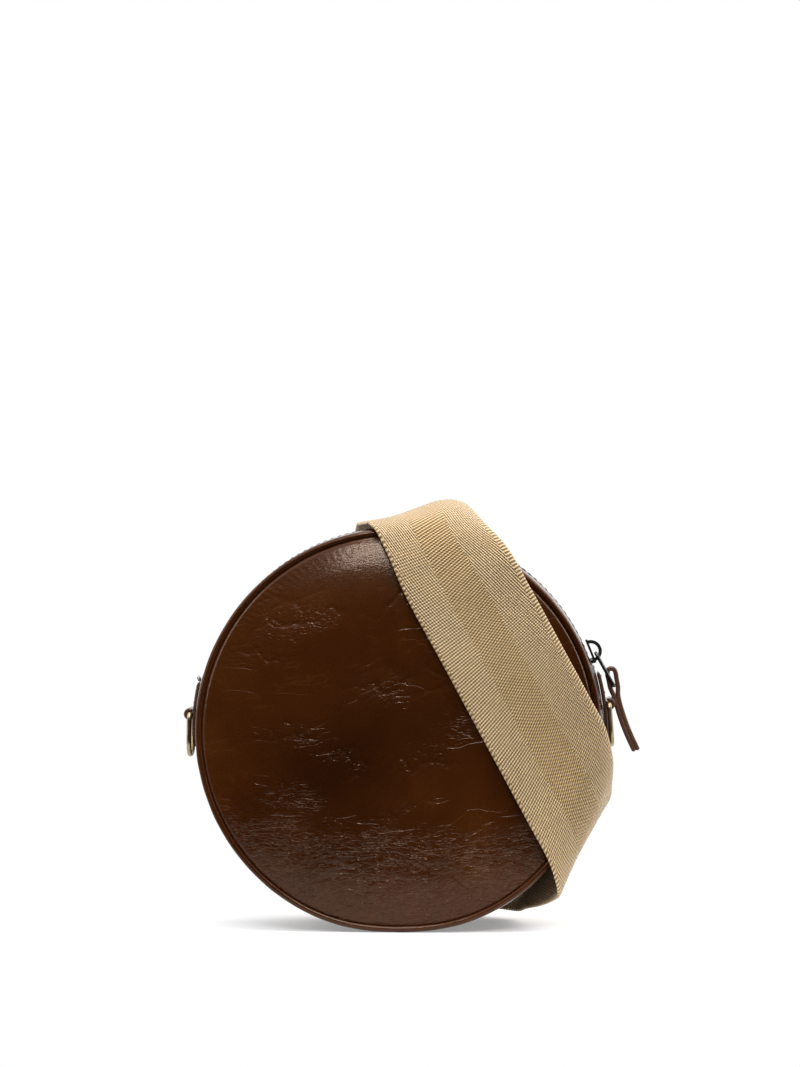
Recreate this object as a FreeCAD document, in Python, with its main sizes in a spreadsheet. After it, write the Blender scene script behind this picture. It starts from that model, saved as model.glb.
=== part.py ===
"""Round leather bag with a zip over its top and a wide webbing strap wrapped round it.

Millimetres. The origin is on the floor under the middle of the bag, X runs to the right of
the front panel, Y to the back and Z up.
"""
import math
import os

import FreeCAD
import Part
from FreeCAD import Placement, Rotation, Vector

SIZES = {
    # bag body
    "bag_radius": 90.0,
    "base_sag": 1.2,
    "base_corner_radius": 30.0,
    "gusset_width": 58.0,
    "gusset_bulge": 1.5,
    "crest_half_width": 13.6,
    "panel_crown": 8.0,
    "dome_power": 4.0,
    "leather": 1.6,
    "lining": 0.5,
    "piping_diameter": 3.0,
    "seam_gap": 0.2,
    "overrun": 2.0,
    "wire_sides": 8,
    "wire_bend_step": 22.5,
    "piping_bend_step": 5.0,
    "right_join_angle": 7.0,
    "left_join_angle": 176.0,
    # zip
    "zip_slot": 10.0,
    "tape_reach": 13.0,
    "tape_thickness": 0.6,
    "tape_rise": 1.0,
    "zip_start_angle": 17.2,
    "zip_end_angle": 163.5,
    "tooth_pitch": 2.6,
    "tooth_thickness": 1.1,
    "tooth_reach": 2.9,
    "tooth_overlap": 0.9,
    "tooth_height": 2.6,
    "stop_length": 1.2,
    # zip slider and its pull
    "slider_stop_gap": 0.85,
    "slider_length": 11.0,
    "slider_width": 8.2,
    "slider_plate": 1.0,
    "slider_play": 0.3,
    "wedge_radius": 1.3,
    "bridge_radius": 5.0,
    "bridge_thickness": 1.5,
    "bridge_width": 2.4,
    "link_wire": 1.6,
    "link_length": 16.5,
    "link_inner_width": 6.8,
    "link_drop": 1.8,
    "link_corner_radius": 1.2,
    "pull_angle": 29.0,
    "pull_tab_angle": 21.0,
    "pull_leather": 1.4,
    "pull_width": 6.0,
    "pull_length": 29.0,
    "pull_loop": 6.0,
    # ring tabs and rings
    "tab_leather": 1.6,
    "tab_width": 18.0,
    "tab_half_angle": 9.2,
    "ring_wire": 2.2,
    "ring_inner_width": 20.0,
    "ring_drop": 19.5,
    "ring_corner_radius": 2.0,
    "ring_bow_radius": 9.0,
    "ring_play": 0.08,
    "left_ring_lean": -1.0,
    "right_ring_lean": 4.0,
    # strap
    "webbing_width": 50.0,
    "webbing_thickness": 1.8,
    "strap_gap": 0.3,
    "hang_offset": 7.7,
    "hang_left": 24.0,
    "hang_top": 64.0,
    "hang_eye_height": 20.0,
    "floor_offset": 7.9,
    "floor_end": 4.0,
    "floor_eye": 6.0,
    "floor_lift": 33.2,
    "fold_length": 24.0,
    "tail_length": 14.0,
    # adjuster
    "adjuster_height": 26.0,
    "adjuster_bar": 1.2,
    "adjuster_side": 3.0,
    "adjuster_play": 0.5,
    # snap hooks
    "eye_rod": 2.2,
    "eye_slot_height": 8.0,
    "eye_corner_radius": 2.4,
    "barrel_radius": 4.0,
    "barrel_length": 6.0,
    "post_radius": 1.9,
    "swivel_play": 0.05,
    "swivel_end_play": 0.1,
    "post_head_radius": 3.0,
    "post_head": 1.2,
    "collar_length": 3.0,
    "claw_radius": 8.0,
    "claw_rod": 2.2,
    "nose_angle": -20.0,
    "gate_angle": 50.0,
    "gate_pin_angle": 58.0,
    "gate_pin_radius": 0.7,
    "gate_eye_radius": 1.7,
    "gate_width": 2.4,
    "gate_rod": 1.1,
}

doc = FreeCAD.newDocument("circle_bag")
sheet = doc.addObject("Spreadsheet::Sheet", "sizes")
for row, (alias, number) in enumerate(SIZES.items(), start=1):
    sheet.set(f"A{row}", alias)
    sheet.set(f"B{row}", str(number))
    sheet.setAlias(f"B{row}", alias)
doc.recompute()
pieces = []


def size(alias):
    """The sheet's value of one named size."""
    return float(getattr(sheet, alias))


def piece(obj, label):
    """Name a finished sub-part and keep it for the files."""
    obj.Label = label
    pieces.append(obj)
    return obj


def shaped(label, shape):
    """A sub-part whose shape follows the bag's outline or a draped route."""
    obj = doc.addObject("Part::Feature", label)
    obj.Shape = shape
    return piece(obj, label)


# Parametric primitives: every size and place is a formula on the sheet
AXES = {
    "X": Rotation(Vector(0, 1, 0), 90),
    "Y": Rotation(Vector(1, 0, 0), -90),
    "Z": Rotation(),
}


def place(obj, centre):
    for axis, formula in zip("xyz", centre):
        obj.setExpression(f"Placement.Base.{axis}", formula)


def rod(name, radius, length, start, along):
    """A cylinder from its start point along one axis."""
    obj = doc.addObject("Part::Cylinder", name)
    obj.setExpression("Radius", radius)
    obj.setExpression("Height", length)
    obj.Placement = Placement(Vector(), AXES[along])
    place(obj, start)
    return obj


def block(name, lengths, corner):
    """A box from its lowest corner."""
    obj = doc.addObject("Part::Box", name)
    for side, formula in zip(("Length", "Width", "Height"), lengths):
        obj.setExpression(side, formula)
    place(obj, corner)
    return obj


def fused(name, parts):
    obj = doc.addObject("Part::MultiFuse", name)
    obj.Shapes = parts
    obj.Refine = True
    return obj


def cut(name, base, tool):
    obj = doc.addObject("Part::Cut", name)
    obj.Base = base
    obj.Tool = tool
    return obj


def rounded_wire(corners):
    """A closed wire through corners, each a point and the radius of its arc.

    It starts mid-way on its first side.
    """
    count = len(corners)
    edges = []
    start = (corners[0][0] + corners[1][0]) * 0.5
    here = start
    for i in range(1, count + 1):
        corner, radius = corners[i % count]
        back = (corners[i - 1][0] - corner).normalize()
        ahead = (corners[(i + 1) % count][0] - corner).normalize()
        half = 0.5 * back.getAngle(ahead)
        first = corner + back * (radius / math.tan(half))
        last = corner + ahead * (radius / math.tan(half))
        bisector = (back + ahead).normalize()
        middle = corner + bisector * (radius / math.sin(half) - radius)
        edges.append(Part.LineSegment(here, first).toShape())
        edges.append(Part.Arc(first, middle, last).toShape())
        here = last
    edges.append(Part.LineSegment(here, start).toShape())
    return Part.Wire(edges)


def bent_rod(wire, radius, bend_step):
    """A many-sided rod round a closed flat wire, with its arcs taken in short straight steps."""
    path = []
    for edge in wire.OrderedEdges:
        start, end = edge.FirstParameter, edge.LastParameter
        straight = isinstance(edge.Curve, Part.Line)
        steps = 1 if straight else math.ceil(math.degrees(end - start) / bend_step)
        path += [edge.valueAt(start + (end - start) * i / steps) for i in range(steps)]
    lift = Part.Face(wire).normalAt(0, 0)
    sides = round(size("wire_sides"))
    turns = [2 * math.pi * i / sides for i in range(sides)]
    rings = []
    for i, here in enumerate(path):
        back = (here - path[i - 1]).normalize()
        ahead = (path[(i + 1) % len(path)] - here).normalize()
        spoke = lift.cross((back + ahead).normalize())
        mitre = radius / math.cos(back.getAngle(ahead) / 2)
        rings.append([here + spoke * (mitre * math.cos(t)) + lift * (radius * math.sin(t)) for t in turns])
    faces = []
    for first, second in zip(rings, rings[1:] + rings[:1]):
        for i in range(sides):
            corners = [first[i - 1], first[i], second[i], second[i - 1]]
            faces.append(Part.Face(Part.makePolygon(corners + corners[:1])))
    shell = Part.makeShell(faces)
    shell.sewShape()
    solid = Part.makeSolid(shell)
    if solid.Volume < 0:
        solid.reverse()
    return solid


# Worked-out sizes that several pieces share
R = size("bag_radius")
GAP = size("seam_gap")
LEATHER = size("leather")
CENTRE_HEIGHT = R - size("base_sag")
CENTRE = Vector(0, 0, CENTRE_HEIGHT)
SEAM = size("gusset_width") / 2
PIPING = size("piping_diameter") / 2
GUSSET_HALF = SEAM - PIPING - GAP
PANEL_RADIUS = R - 2 * PIPING - GAP
CREST = R + size("gusset_bulge")
CROWN_REACH = SEAM + LEATHER / 2 + size("panel_crown")
FORWARD = Vector(0, -1, 0)
BACK = Vector(0, 1, 0)


def on_rim(angle, radius, y):
    """The point at an angle from the right, seen from the front, and a radius about the bag's middle."""
    turn = math.radians(angle)
    return CENTRE + Vector(radius * math.cos(turn), y, radius * math.sin(turn))


# Bag outline: a circle that its own weight presses flat at the floor
def outline(inset, y):
    """A closed wire: the big arc, two corner arcs and the flat base, all moved in by an inset."""
    corner_radius = size("base_corner_radius")
    big = R - corner_radius
    corner_x = math.sqrt(big ** 2 - (CENTRE_HEIGHT - corner_radius) ** 2)
    ray = Vector(corner_x, 0, corner_radius - CENTRE_HEIGHT) * (1 / big)
    mirrored = Vector(-ray.x, 0, ray.z)
    lift = Vector(0, y, 0)
    right = CENTRE + ray * (R - inset) + lift
    left = CENTRE + mirrored * (R - inset) + lift
    top = CENTRE + Vector(0, y, R - inset)
    edges = [Part.Arc(right, top, left).toShape()]
    down = Vector(0, 0, -1)
    for side, tangent in ((-1, left), (1, right)):
        middle_ray = ((mirrored if side < 0 else ray) + down).normalize()
        hub = Vector(side * corner_x, y, corner_radius)
        foot = hub + down * (corner_radius - inset)
        arc = Part.Arc(tangent, hub + middle_ray * (corner_radius - inset), foot)
        edges.append(arc.toShape())
    feet = [Vector(side * corner_x, y, inset) for side in (-1, 1)]
    edges.insert(2, Part.LineSegment(feet[0], feet[1]).toShape())
    return Part.Wire(Part.__sortEdges__(edges))


def slab(inset, low, high):
    """The outline's inside, from one depth to another."""
    return Part.Face(outline(inset, low)).extrude(BACK * (high - low))


def drum(inset, half_width, crest):
    """The bag's inside from seam to seam: a body of turning with a raised crest, cut flat at the floor."""
    crest_half = size("crest_half_width")
    profile = [(R, half_width), (crest, crest_half), (crest, -crest_half), (R, -half_width)]
    points = [CENTRE + Vector(radius - inset, y, 0) for radius, y in profile]
    points += [CENTRE + FORWARD * half_width, CENTRE + BACK * half_width]
    turned = Part.Face(Part.makePolygon(points + points[:1])).revolve(CENTRE, BACK, 360)
    return turned.common(cut_block(-2 * R, 2 * R, -half_width, half_width, inset, 3 * R))


def band(inset, thickness, half_width, crest):
    """A strip that follows the bag round."""
    return drum(inset, half_width, crest).cut(drum(inset + thickness, half_width, crest))


def pie(start, end, half_width):
    """A wedge of the bag between two angles, used to cut strips to length."""
    reach = CREST + size("overrun")
    first, middle, last = (on_rim(a, reach, -half_width) for a in (start, (start + end) / 2, end))
    hub = CENTRE + FORWARD * half_width
    edges = [
        Part.LineSegment(hub, first).toShape(),
        Part.Arc(first, middle, last).toShape(),
        Part.LineSegment(last, hub).toShape(),
    ]
    return Part.Face(Part.Wire(edges)).extrude(BACK * (2 * half_width))


def cut_block(x0, x1, y0, y1, z0, z1):
    return Part.makeBox(x1 - x0, y1 - y0, z1 - z0, Vector(x0, y0, z0))


# Front and back panels with their linings
def dome(radius_share):
    """How far the panel stands out at a share of its radius, as a share of its crown."""
    return 1 - radius_share ** size("dome_power")


PANEL_RING_SHARES = (0.5, 0.8)


def domed_panel(side, thickness, inset):
    """A pillow-shaped sheet: a flat middle and sloping rings, turned and then cut to the bag's outline."""
    crown = size("panel_crown")
    level = SEAM + LEATHER / 2
    shares = PANEL_RING_SHARES + (1, (R - inset + size("overrun")) / PANEL_RADIUS)
    outer = [CENTRE + Vector(s * PANEL_RADIUS, side * (level + crown * dome(s)), 0) for s in shares]
    outer.insert(0, CENTRE + Vector(0, outer[0].y, 0))
    inner = [point + Vector(0, -side * thickness, 0) for point in reversed(outer)]
    turned = Part.Face(Part.makePolygon(outer + inner + outer[:1])).revolve(CENTRE, BACK, 360)
    deep = CROWN_REACH + size("overrun")
    trim = slab(inset, min(0, side * deep), max(0, side * deep))
    return turned.common(trim).Solids[0]


LINING_DEPTH = LEATHER + GAP
for side, name in ((-1, "front"), (1, "back")):
    panel_inset = 2 * PIPING + GAP
    shaped(f"{name}_panel", domed_panel(side, LEATHER, panel_inset))
    lining_reach = SEAM + LEATHER / 2 - LINING_DEPTH
    low, high = sorted((side * lining_reach, side * (lining_reach - size("lining"))))
    shaped(f"{name}_lining", slab(panel_inset + GAP, low, high))

# Piping: leather wrapped round a cord, sewn into the seam between a panel and the gusset
for side, name in ((-1, "front"), (1, "back")):
    shaped(f"{name}_piping", bent_rod(outline(PIPING, side * SEAM), PIPING, size("piping_bend_step")))

# Gusset: one strip round the bottom, two narrow ones beside the zip
RIGHT_JOIN = size("right_join_angle")
LEFT_JOIN = size("left_join_angle")
JOIN_GAP_ANGLE = math.degrees(GAP / R)
gusset = band(0, LEATHER, GUSSET_HALF, CREST)
wide = GUSSET_HALF + size("overrun")
zip_part = gusset.common(pie(RIGHT_JOIN + JOIN_GAP_ANGLE, LEFT_JOIN - JOIN_GAP_ANGLE, wide))
shaped("lower_gusset", gusset.common(pie(LEFT_JOIN, 360 + RIGHT_JOIN, wide)).Solids[0])
slot_half = size("zip_slot") / 2
reach = CREST + size("overrun")
for side, name in ((-1, "front"), (1, "back")):
    y_low, y_high = sorted((side * slot_half, side * wide))
    strip = zip_part.common(cut_block(-reach, reach, y_low, y_high, 0, 2 * reach))
    shaped(f"zip_gusset_{name}", strip.Solids[0])

# Gusset lining, open under the zip
zip_start = size("zip_start_angle")
zip_end = size("zip_end_angle")
lining_ring = band(LINING_DEPTH, size("lining"), GUSSET_HALF, R)
zip_mouth = pie(zip_start, zip_end, size("tape_reach") + GAP)
shaped("gusset_lining", lining_ring.cut(zip_mouth).Solids[0])

# Zip: two tapes that rise through the slot, with a row of teeth on each edge
ZIP_AXIS = FORWARD
TAPE_UNDER = CREST - LEATHER - GAP
TAPE_EDGE = size("tooth_reach") + GAP
CHAIN_MIDDLE = TAPE_UNDER + size("tape_rise") - size("tape_thickness") / 2


def turned_about_bag(shape, angle):
    copy = shape.copy()
    copy.rotate(CENTRE, ZIP_AXIS, angle)
    return copy


def zip_tape(side):
    """A bent strip section turned about the bag's axis between the two ends of the zip."""
    thick = size("tape_thickness")
    rise = size("tape_rise")
    foot = slot_half
    section = [
        (size("tape_reach"), TAPE_UNDER - thick),
        (size("tape_reach"), TAPE_UNDER),
        (foot, TAPE_UNDER),
        (TAPE_EDGE, TAPE_UNDER + rise),
        (TAPE_EDGE, TAPE_UNDER + rise - thick),
        (foot - thick / 2, TAPE_UNDER - thick),
    ]
    points = [on_rim(0, radius, side * y) for y, radius in section]
    face = Part.Face(Part.makePolygon(points + points[:1]))
    return turned_about_bag(face, zip_start).revolve(CENTRE, ZIP_AXIS, zip_end - zip_start)


def zip_tooth(side):
    """One tooth on the right of the bag: a small block with a tapered head past the zip's middle."""
    half = size("tooth_thickness") / 2
    head_half_share = 0.55
    outline_points = [
        (size("tooth_reach"), -half),
        (size("tooth_reach"), half),
        (-size("tooth_overlap"), half * head_half_share),
        (-size("tooth_overlap"), -half * head_half_share),
    ]
    foot = CHAIN_MIDDLE - size("tooth_height") / 2
    points = [CENTRE + Vector(foot, side * y, z) for y, z in outline_points]
    face = Part.Face(Part.makePolygon(points + points[:1]))
    return face.extrude(Vector(size("tooth_height"), 0, 0))


STEP = math.degrees(size("tooth_pitch") / CHAIN_MIDDLE)
stop_angle = math.degrees(size("stop_length") / CHAIN_MIDDLE)
slider_half_angle = math.degrees(size("slider_length") / 2 / CHAIN_MIDDLE)
top_stop_angle = zip_start + JOIN_GAP_ANGLE + stop_angle / 2
bottom_stop_angle = zip_end - JOIN_GAP_ANGLE - stop_angle / 2
slider_gap_angle = math.degrees(size("slider_stop_gap") / CHAIN_MIDDLE)
SLIDER_ANGLE = top_stop_angle + stop_angle / 2 + slider_gap_angle + slider_half_angle
first_tooth = SLIDER_ANGLE - slider_half_angle / 3
last_tooth = zip_end - 2 * stop_angle
tooth_count = int((last_tooth - first_tooth) / STEP)
for side, name, shift in ((-1, "front", 0), (1, "back", 0.5)):
    shaped(f"zip_tape_{name}", zip_tape(side))
    tooth = zip_tooth(side)
    row = [turned_about_bag(tooth, first_tooth + (i + shift) * STEP) for i in range(tooth_count)]
    shaped(f"zip_teeth_{name}", Part.makeCompound(row))

# Zip stops: one on each tape at the closed end, one across both at the other end
stop_foot = CHAIN_MIDDLE - size("tooth_height") / 2
stop_high = size("tooth_height")


def zip_stop(y_low, y_high, angle):
    half = size("stop_length") / 2
    body = cut_block(stop_foot, stop_foot + stop_high, y_low, y_high, -half, half)
    body.translate(CENTRE)
    return turned_about_bag(body, angle)


tooth_reach = size("tooth_reach")
shaped("zip_stops", Part.makeCompound([
    zip_stop(GAP, tooth_reach, top_stop_angle),
    zip_stop(-tooth_reach, -GAP, top_stop_angle),
    zip_stop(-tooth_reach, tooth_reach, bottom_stop_angle),
]))

# Zip slider: two plates joined by a wedge, with a bridge on top, made on the X axis and turned into place
CREST_FORMULA = "sizes.bag_radius + sizes.gusset_bulge"
CHAIN = f"({CREST_FORMULA} - sizes.leather - sizes.seam_gap + sizes.tape_rise - sizes.tape_thickness / 2)"
TOP = f"({CHAIN} + sizes.tooth_height / 2 + sizes.slider_play)"
UNDER = f"({CHAIN} - sizes.tooth_height / 2 - 2 * sizes.slider_play)"
HALF_LONG = "sizes.slider_length / 2"
HALF_WIDE = "sizes.slider_width / 2"
plate_lengths = ("sizes.slider_plate", "sizes.slider_width", "sizes.slider_length")
top_plate = block("slider_top", plate_lengths, (TOP, f"-{HALF_WIDE}", f"-{HALF_LONG}"))
under_plate = block(
    "slider_under", plate_lengths, (f"{UNDER} - sizes.slider_plate", f"-{HALF_WIDE}", f"-{HALF_LONG}")
)
wedge = rod(
    "slider_wedge", "sizes.wedge_radius", f"{TOP} - {UNDER} + sizes.slider_plate",
    (f"{UNDER} - sizes.slider_plate / 2", "0", f"-{HALF_LONG} + sizes.wedge_radius"), "X",
)
bridge_at = (f"{TOP} + sizes.slider_plate / 2", "-sizes.bridge_width / 2", "0")
bridge_ring = cut(
    "slider_bridge_ring",
    rod("bridge_outer", "sizes.bridge_radius", "sizes.bridge_width", bridge_at, "Y"),
    rod("bridge_inner", "sizes.bridge_radius - sizes.bridge_thickness", "sizes.bridge_width", bridge_at, "Y"),
)
bridge_half = doc.addObject("Part::Common", "slider_bridge")
bridge_half.Base = bridge_ring
bridge_half.Tool = block(
    "bridge_room", ("sizes.bridge_radius + sizes.overrun", "sizes.slider_width", "3 * sizes.bridge_radius"),
    (f"{TOP} + sizes.slider_plate / 2", f"-{HALF_WIDE}", "-1.5 * sizes.bridge_radius"),
)
slider = piece(fused("zip_slider", [top_plate, under_plate, wedge, bridge_half]), "zip_slider")
SLIDER_TURN = Rotation(FORWARD, SLIDER_ANGLE)
slider.Placement = Placement(CENTRE, SLIDER_TURN)

# Pull: a wire link under the bridge and a folded strip of leather round the link's lower end
slider_top = CHAIN_MIDDLE + size("tooth_height") / 2 + size("slider_play") + size("slider_plate")
link_radius = size("link_wire") / 2
pivot_reach = slider_top + link_radius + size("slider_play") + GAP
PULL_PIVOT = CENTRE + SLIDER_TURN.multVec(Vector(pivot_reach, 0, -size("link_drop")))
PULL_TURN = Rotation(FORWARD, size("pull_angle"))
link_half = size("link_inner_width") / 2 + link_radius
link_low = -size("link_length")
link_corners = [(Vector(0, y, z), size("link_corner_radius")) for y, z in (
    (-link_half, 0), (link_half, 0), (link_half, link_low), (-link_half, link_low),
)]
link = shaped("zip_pull_link", bent_rod(rounded_wire(link_corners), link_radius, size("wire_bend_step")))
link.Placement = Placement(PULL_PIVOT, PULL_TURN)


PULL_END_SHARE = 0.4


def at_free_end(edge, end, width):
    """True for the two short edges across the tab's thickness at its free end."""
    at = edge.CenterOfMass
    return abs(at.z - end) < GAP and abs(abs(at.y) - width / 2) < GAP


def pull_tab():
    """Two layers of leather that part into a loop above the link's lower bar, with a rounded free end."""
    thick = size("pull_leather")
    half_hole = link_radius + GAP
    half_loop = half_hole + thick
    top = size("pull_loop")
    taper = -half_loop - 2 * half_hole
    end = -size("pull_length")
    left = [Vector(-thick, 0, end), Vector(-thick, 0, taper), Vector(-half_loop, 0, -half_hole),
            Vector(-half_loop, 0, top)]
    right = [Vector(-p.x, 0, p.z) for p in reversed(left)]
    edges = [Part.makePolygon(left).Edges, Part.makePolygon(right).Edges]
    cap = Part.Arc(left[-1], Vector(0, 0, top + half_loop), right[0]).toShape()
    foot = Part.LineSegment(right[-1], left[0]).toShape()
    outer = Part.Wire(Part.__sortEdges__(edges[0] + edges[1] + [cap, foot]))
    low_left, low_right = Vector(-half_hole, 0, 0), Vector(half_hole, 0, 0)
    rise = Vector(0, 0, top)
    hole = Part.Wire([
        Part.Arc(low_left, Vector(0, 0, -half_hole), low_right).toShape(),
        Part.LineSegment(low_right, low_right + rise).toShape(),
        Part.Arc(low_right + rise, rise + Vector(0, 0, half_hole), low_left + rise).toShape(),
        Part.LineSegment(low_left + rise, low_left).toShape(),
    ])
    width = size("pull_width")
    body = Part.Face(outer).cut(Part.Face(hole)).extrude(BACK * width)
    body.translate(FORWARD * (width / 2))
    return body.makeFillet(width * PULL_END_SHARE, [e for e in body.Edges if at_free_end(e, end, width)])


LINK_FOOT = PULL_PIVOT + PULL_TURN.multVec(Vector(0, 0, link_low))
tab = shaped("zip_pull_tab", pull_tab())
tab.Placement = Placement(LINK_FOOT, Rotation(FORWARD, size("pull_tab_angle")))

# Ring tabs: a leather strip over each end of the zip, with a loop that holds the ring's bar
RING = size("ring_wire") / 2
TAB_FOOT = CREST + GAP
TAB_TOP = TAB_FOOT + size("tab_leather")
LOOP_HOLE = RING + size("ring_play")
BAR_REACH = TAB_TOP + LOOP_HOLE


def ring_tab(angle):
    half = size("tab_half_angle")
    width = size("tab_width")
    edges = []
    for radius in (TAB_FOOT, TAB_TOP):
        ends = [on_rim(angle + turn, radius, -width / 2) for turn in (-half, 0, half)]
        edges.append(Part.Arc(*ends).toShape())
    for turn in (-half, half):
        ends = [on_rim(angle + turn, radius, -width / 2) for radius in (TAB_FOOT, TAB_TOP)]
        edges.append(Part.LineSegment(*ends).toShape())
    strip = Part.Face(Part.Wire(Part.__sortEdges__(edges))).extrude(BACK * width)
    bar = on_rim(angle, BAR_REACH, -width / 2)
    loop = Part.makeCylinder(LOOP_HOLE + size("tab_leather"), width, bar, BACK)
    hole = Part.makeCylinder(LOOP_HOLE, width, bar, BACK)
    below = Part.makeCylinder(TAB_FOOT, width, CENTRE + FORWARD * (width / 2), BACK)
    return strip.fuse(loop.cut(below)).cut(hole).removeSplitter().Solids[0]


def d_ring():
    """A straight bar in the loop, two tight corners and a wide bow that hangs below it."""
    half = size("ring_inner_width") / 2 + RING
    drop = size("ring_drop") - RING
    corner = size("ring_corner_radius")
    bow = size("ring_bow_radius")
    corners = [(Vector(0, y, z), radius) for y, z, radius in (
        (-half, 0, corner), (half, 0, corner), (half, -drop, bow), (-half, -drop, bow),
    )]
    return bent_rod(rounded_wire(corners), RING, size("wire_bend_step"))


for name, angle in (("left", LEFT_JOIN), ("right", RIGHT_JOIN)):
    shaped(f"{name}_ring_tab", ring_tab(angle))
    ring = shaped(f"{name}_d_ring", d_ring())
    ring.Placement = Placement(on_rim(angle, BAR_REACH, 0), Rotation(FORWARD, size(f"{name}_ring_lean")))

# Strap: one webbing that hangs behind the bag, passes over its top, crosses the front panel,
# turns round the lower right side and runs back behind the bag on its edge
WEB = size("webbing_thickness")
HALF_WEB = size("webbing_width") / 2
STRAP_REACH = CROWN_REACH + size("strap_gap") + WEB / 2
HANG_Y = CROWN_REACH + size("hang_offset")
FLOOR_Y = CROWN_REACH + size("floor_offset")
EYE = size("eye_rod")
FOLD = EYE + GAP + WEB / 2

# Edge points as shares of the bag's radius, for x and z, and of the strap's reach, for y
DRAPE_SHARES = (
    ((-0.255, 1.128, 0.890), (0.290, 1.167, 0.944)),
    ((-0.240, 0.850, 1.005), (0.300, 0.949, 1.060)),
    ((-0.210, 0.205, 1.018), (0.330, 0.462, 1.115)),
    ((-0.172, -0.256, 1.022), (0.362, 0.051, 1.128)),
    ((-0.140, -0.756, 1.020), (0.392, -0.385, 1.112)),
    ((-0.105, -0.923, 0.985), (0.415, -0.600, 1.085)),
    ((-0.056, -0.987, 0.889), (0.428, -0.769, 1.050)),
    ((0.031, -1.0, 0.690), (0.520, -0.962, 0.954)),
    ((0.215, -1.0, 0.348), (0.662, -1.0, 0.690)),
    ((0.426, -1.0, -0.043), (0.810, -1.0, 0.417)),
    ((0.637, -1.0, -0.434), (0.942, -0.987, 0.172)),
    ((0.745, -0.962, -0.640), (1.020, -0.930, 0.020)),
    ((0.786, -0.800, -0.790), (1.050, -0.760, -0.115)),
    ((0.765, -0.460, -0.838), (1.050, -0.470, -0.245)),
    ((0.702, -0.070, -0.882), (1.042, -0.080, -0.345)),
    ((0.625, 0.340, -0.917), (0.965, 0.390, -0.445)),
    ((0.586, 0.630, -0.942), (0.932, 0.730, -0.478)),
    ((0.490, 0.910, -0.944), (0.850, 1.020, -0.492)),
    ((0.280, 1.120, -0.940), (0.585, 1.200, -0.430)),
    ((0.150, 1.170, -0.930), (0.320, 1.190, -0.385)),
)


def web_section(left, right, across):
    """A rectangle of the webbing between its two edges, thickened along one direction."""
    lift = across * (WEB / 2)
    corners = [left - lift, right - lift, right + lift, left + lift]
    return Part.makePolygon(corners + corners[:1])


def drape():
    """The loft through the webbing's sections, from the hanging end to the end on the floor."""
    hang_left = -size("hang_left")
    hang_right = hang_left + 2 * HALF_WEB
    hang_top = size("hang_top")
    floor_low = -size("floor_lift") - 2 * HALF_WEB
    first = (Vector(hang_left, HANG_Y, hang_top), Vector(hang_right, HANG_Y, hang_top))
    floor_x = size("floor_end")
    last = (Vector(floor_x, FLOOR_Y, floor_low), Vector(floor_x, FLOOR_Y, floor_low + 2 * HALF_WEB))
    pairs = [first]
    for shares in DRAPE_SHARES:
        pairs.append([Vector(x * R, y * STRAP_REACH, z * R) for x, y, z in shares])
    pairs.append(last)
    middles = [(left + right) * 0.5 for left, right in pairs]
    across = [BACK]
    for i in range(1, len(pairs) - 1):
        left, right = pairs[i]
        across.append((middles[i + 1] - middles[i - 1]).cross(right - left).normalize())
    across.append(BACK)
    sections = [web_section(left + CENTRE, right + CENTRE, normal)
                for (left, right), normal in zip(pairs, across)]
    return Part.makeLoft(sections, True, True)


def folded_end(points_and_bends, width_axis, low):
    """The webbing's section carried along a flat path of straight runs and half-turn bends."""
    path = Part.Wire(points_and_bends)
    edge = path.Edges[0]
    start = edge.valueAt(edge.FirstParameter)
    ahead = edge.tangentAt(edge.FirstParameter)
    across = ahead.cross(width_axis).normalize()
    left = start + width_axis * low
    section = web_section(left, left + width_axis * (2 * HALF_WEB), across)
    return path.makePipeShell([section], True, False, 1)


def half_turn(hub, first, radius_to_middle):
    """An arc from one point, past the far side of its hub, to the opposite point."""
    return Part.Arc(first, hub + radius_to_middle, hub * 2 - first).toShape()


HANG_EYE = CENTRE + Vector(0, HANG_Y + FOLD, size("hang_eye_height"))
LAYER = WEB + GAP
MIDDLE_BAR_FOLD = size("adjuster_bar") + GAP + WEB / 2
MIDDLE_BAR = HANG_EYE + Vector(0, FOLD - MIDDLE_BAR_FOLD, size("adjuster_height"))


def hanging_end():
    """Down to the hook's eye, round it, up behind, over the adjuster's middle bar and down again."""
    top = CENTRE + Vector(0, HANG_Y, size("hang_top"))
    low = HANG_EYE + FORWARD * FOLD
    back = HANG_EYE + BACK * FOLD
    up = MIDDLE_BAR + BACK * MIDDLE_BAR_FOLD
    over = MIDDLE_BAR + FORWARD * MIDDLE_BAR_FOLD
    tail = over - Vector(0, 0, size("tail_length"))
    return folded_end([
        Part.LineSegment(top, low).toShape(),
        half_turn(HANG_EYE, low, Vector(0, 0, -FOLD)),
        Part.LineSegment(back, up).toShape(),
        half_turn(MIDDLE_BAR, up, Vector(0, 0, MIDDLE_BAR_FOLD)),
        Part.LineSegment(over, tail).toShape(),
    ], Vector(1, 0, 0), -size("hang_left"))


FLOOR_EYE = CENTRE + Vector(-size("floor_eye"), FLOOR_Y + LAYER / 2, -size("floor_lift") - HALF_WEB)


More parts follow.
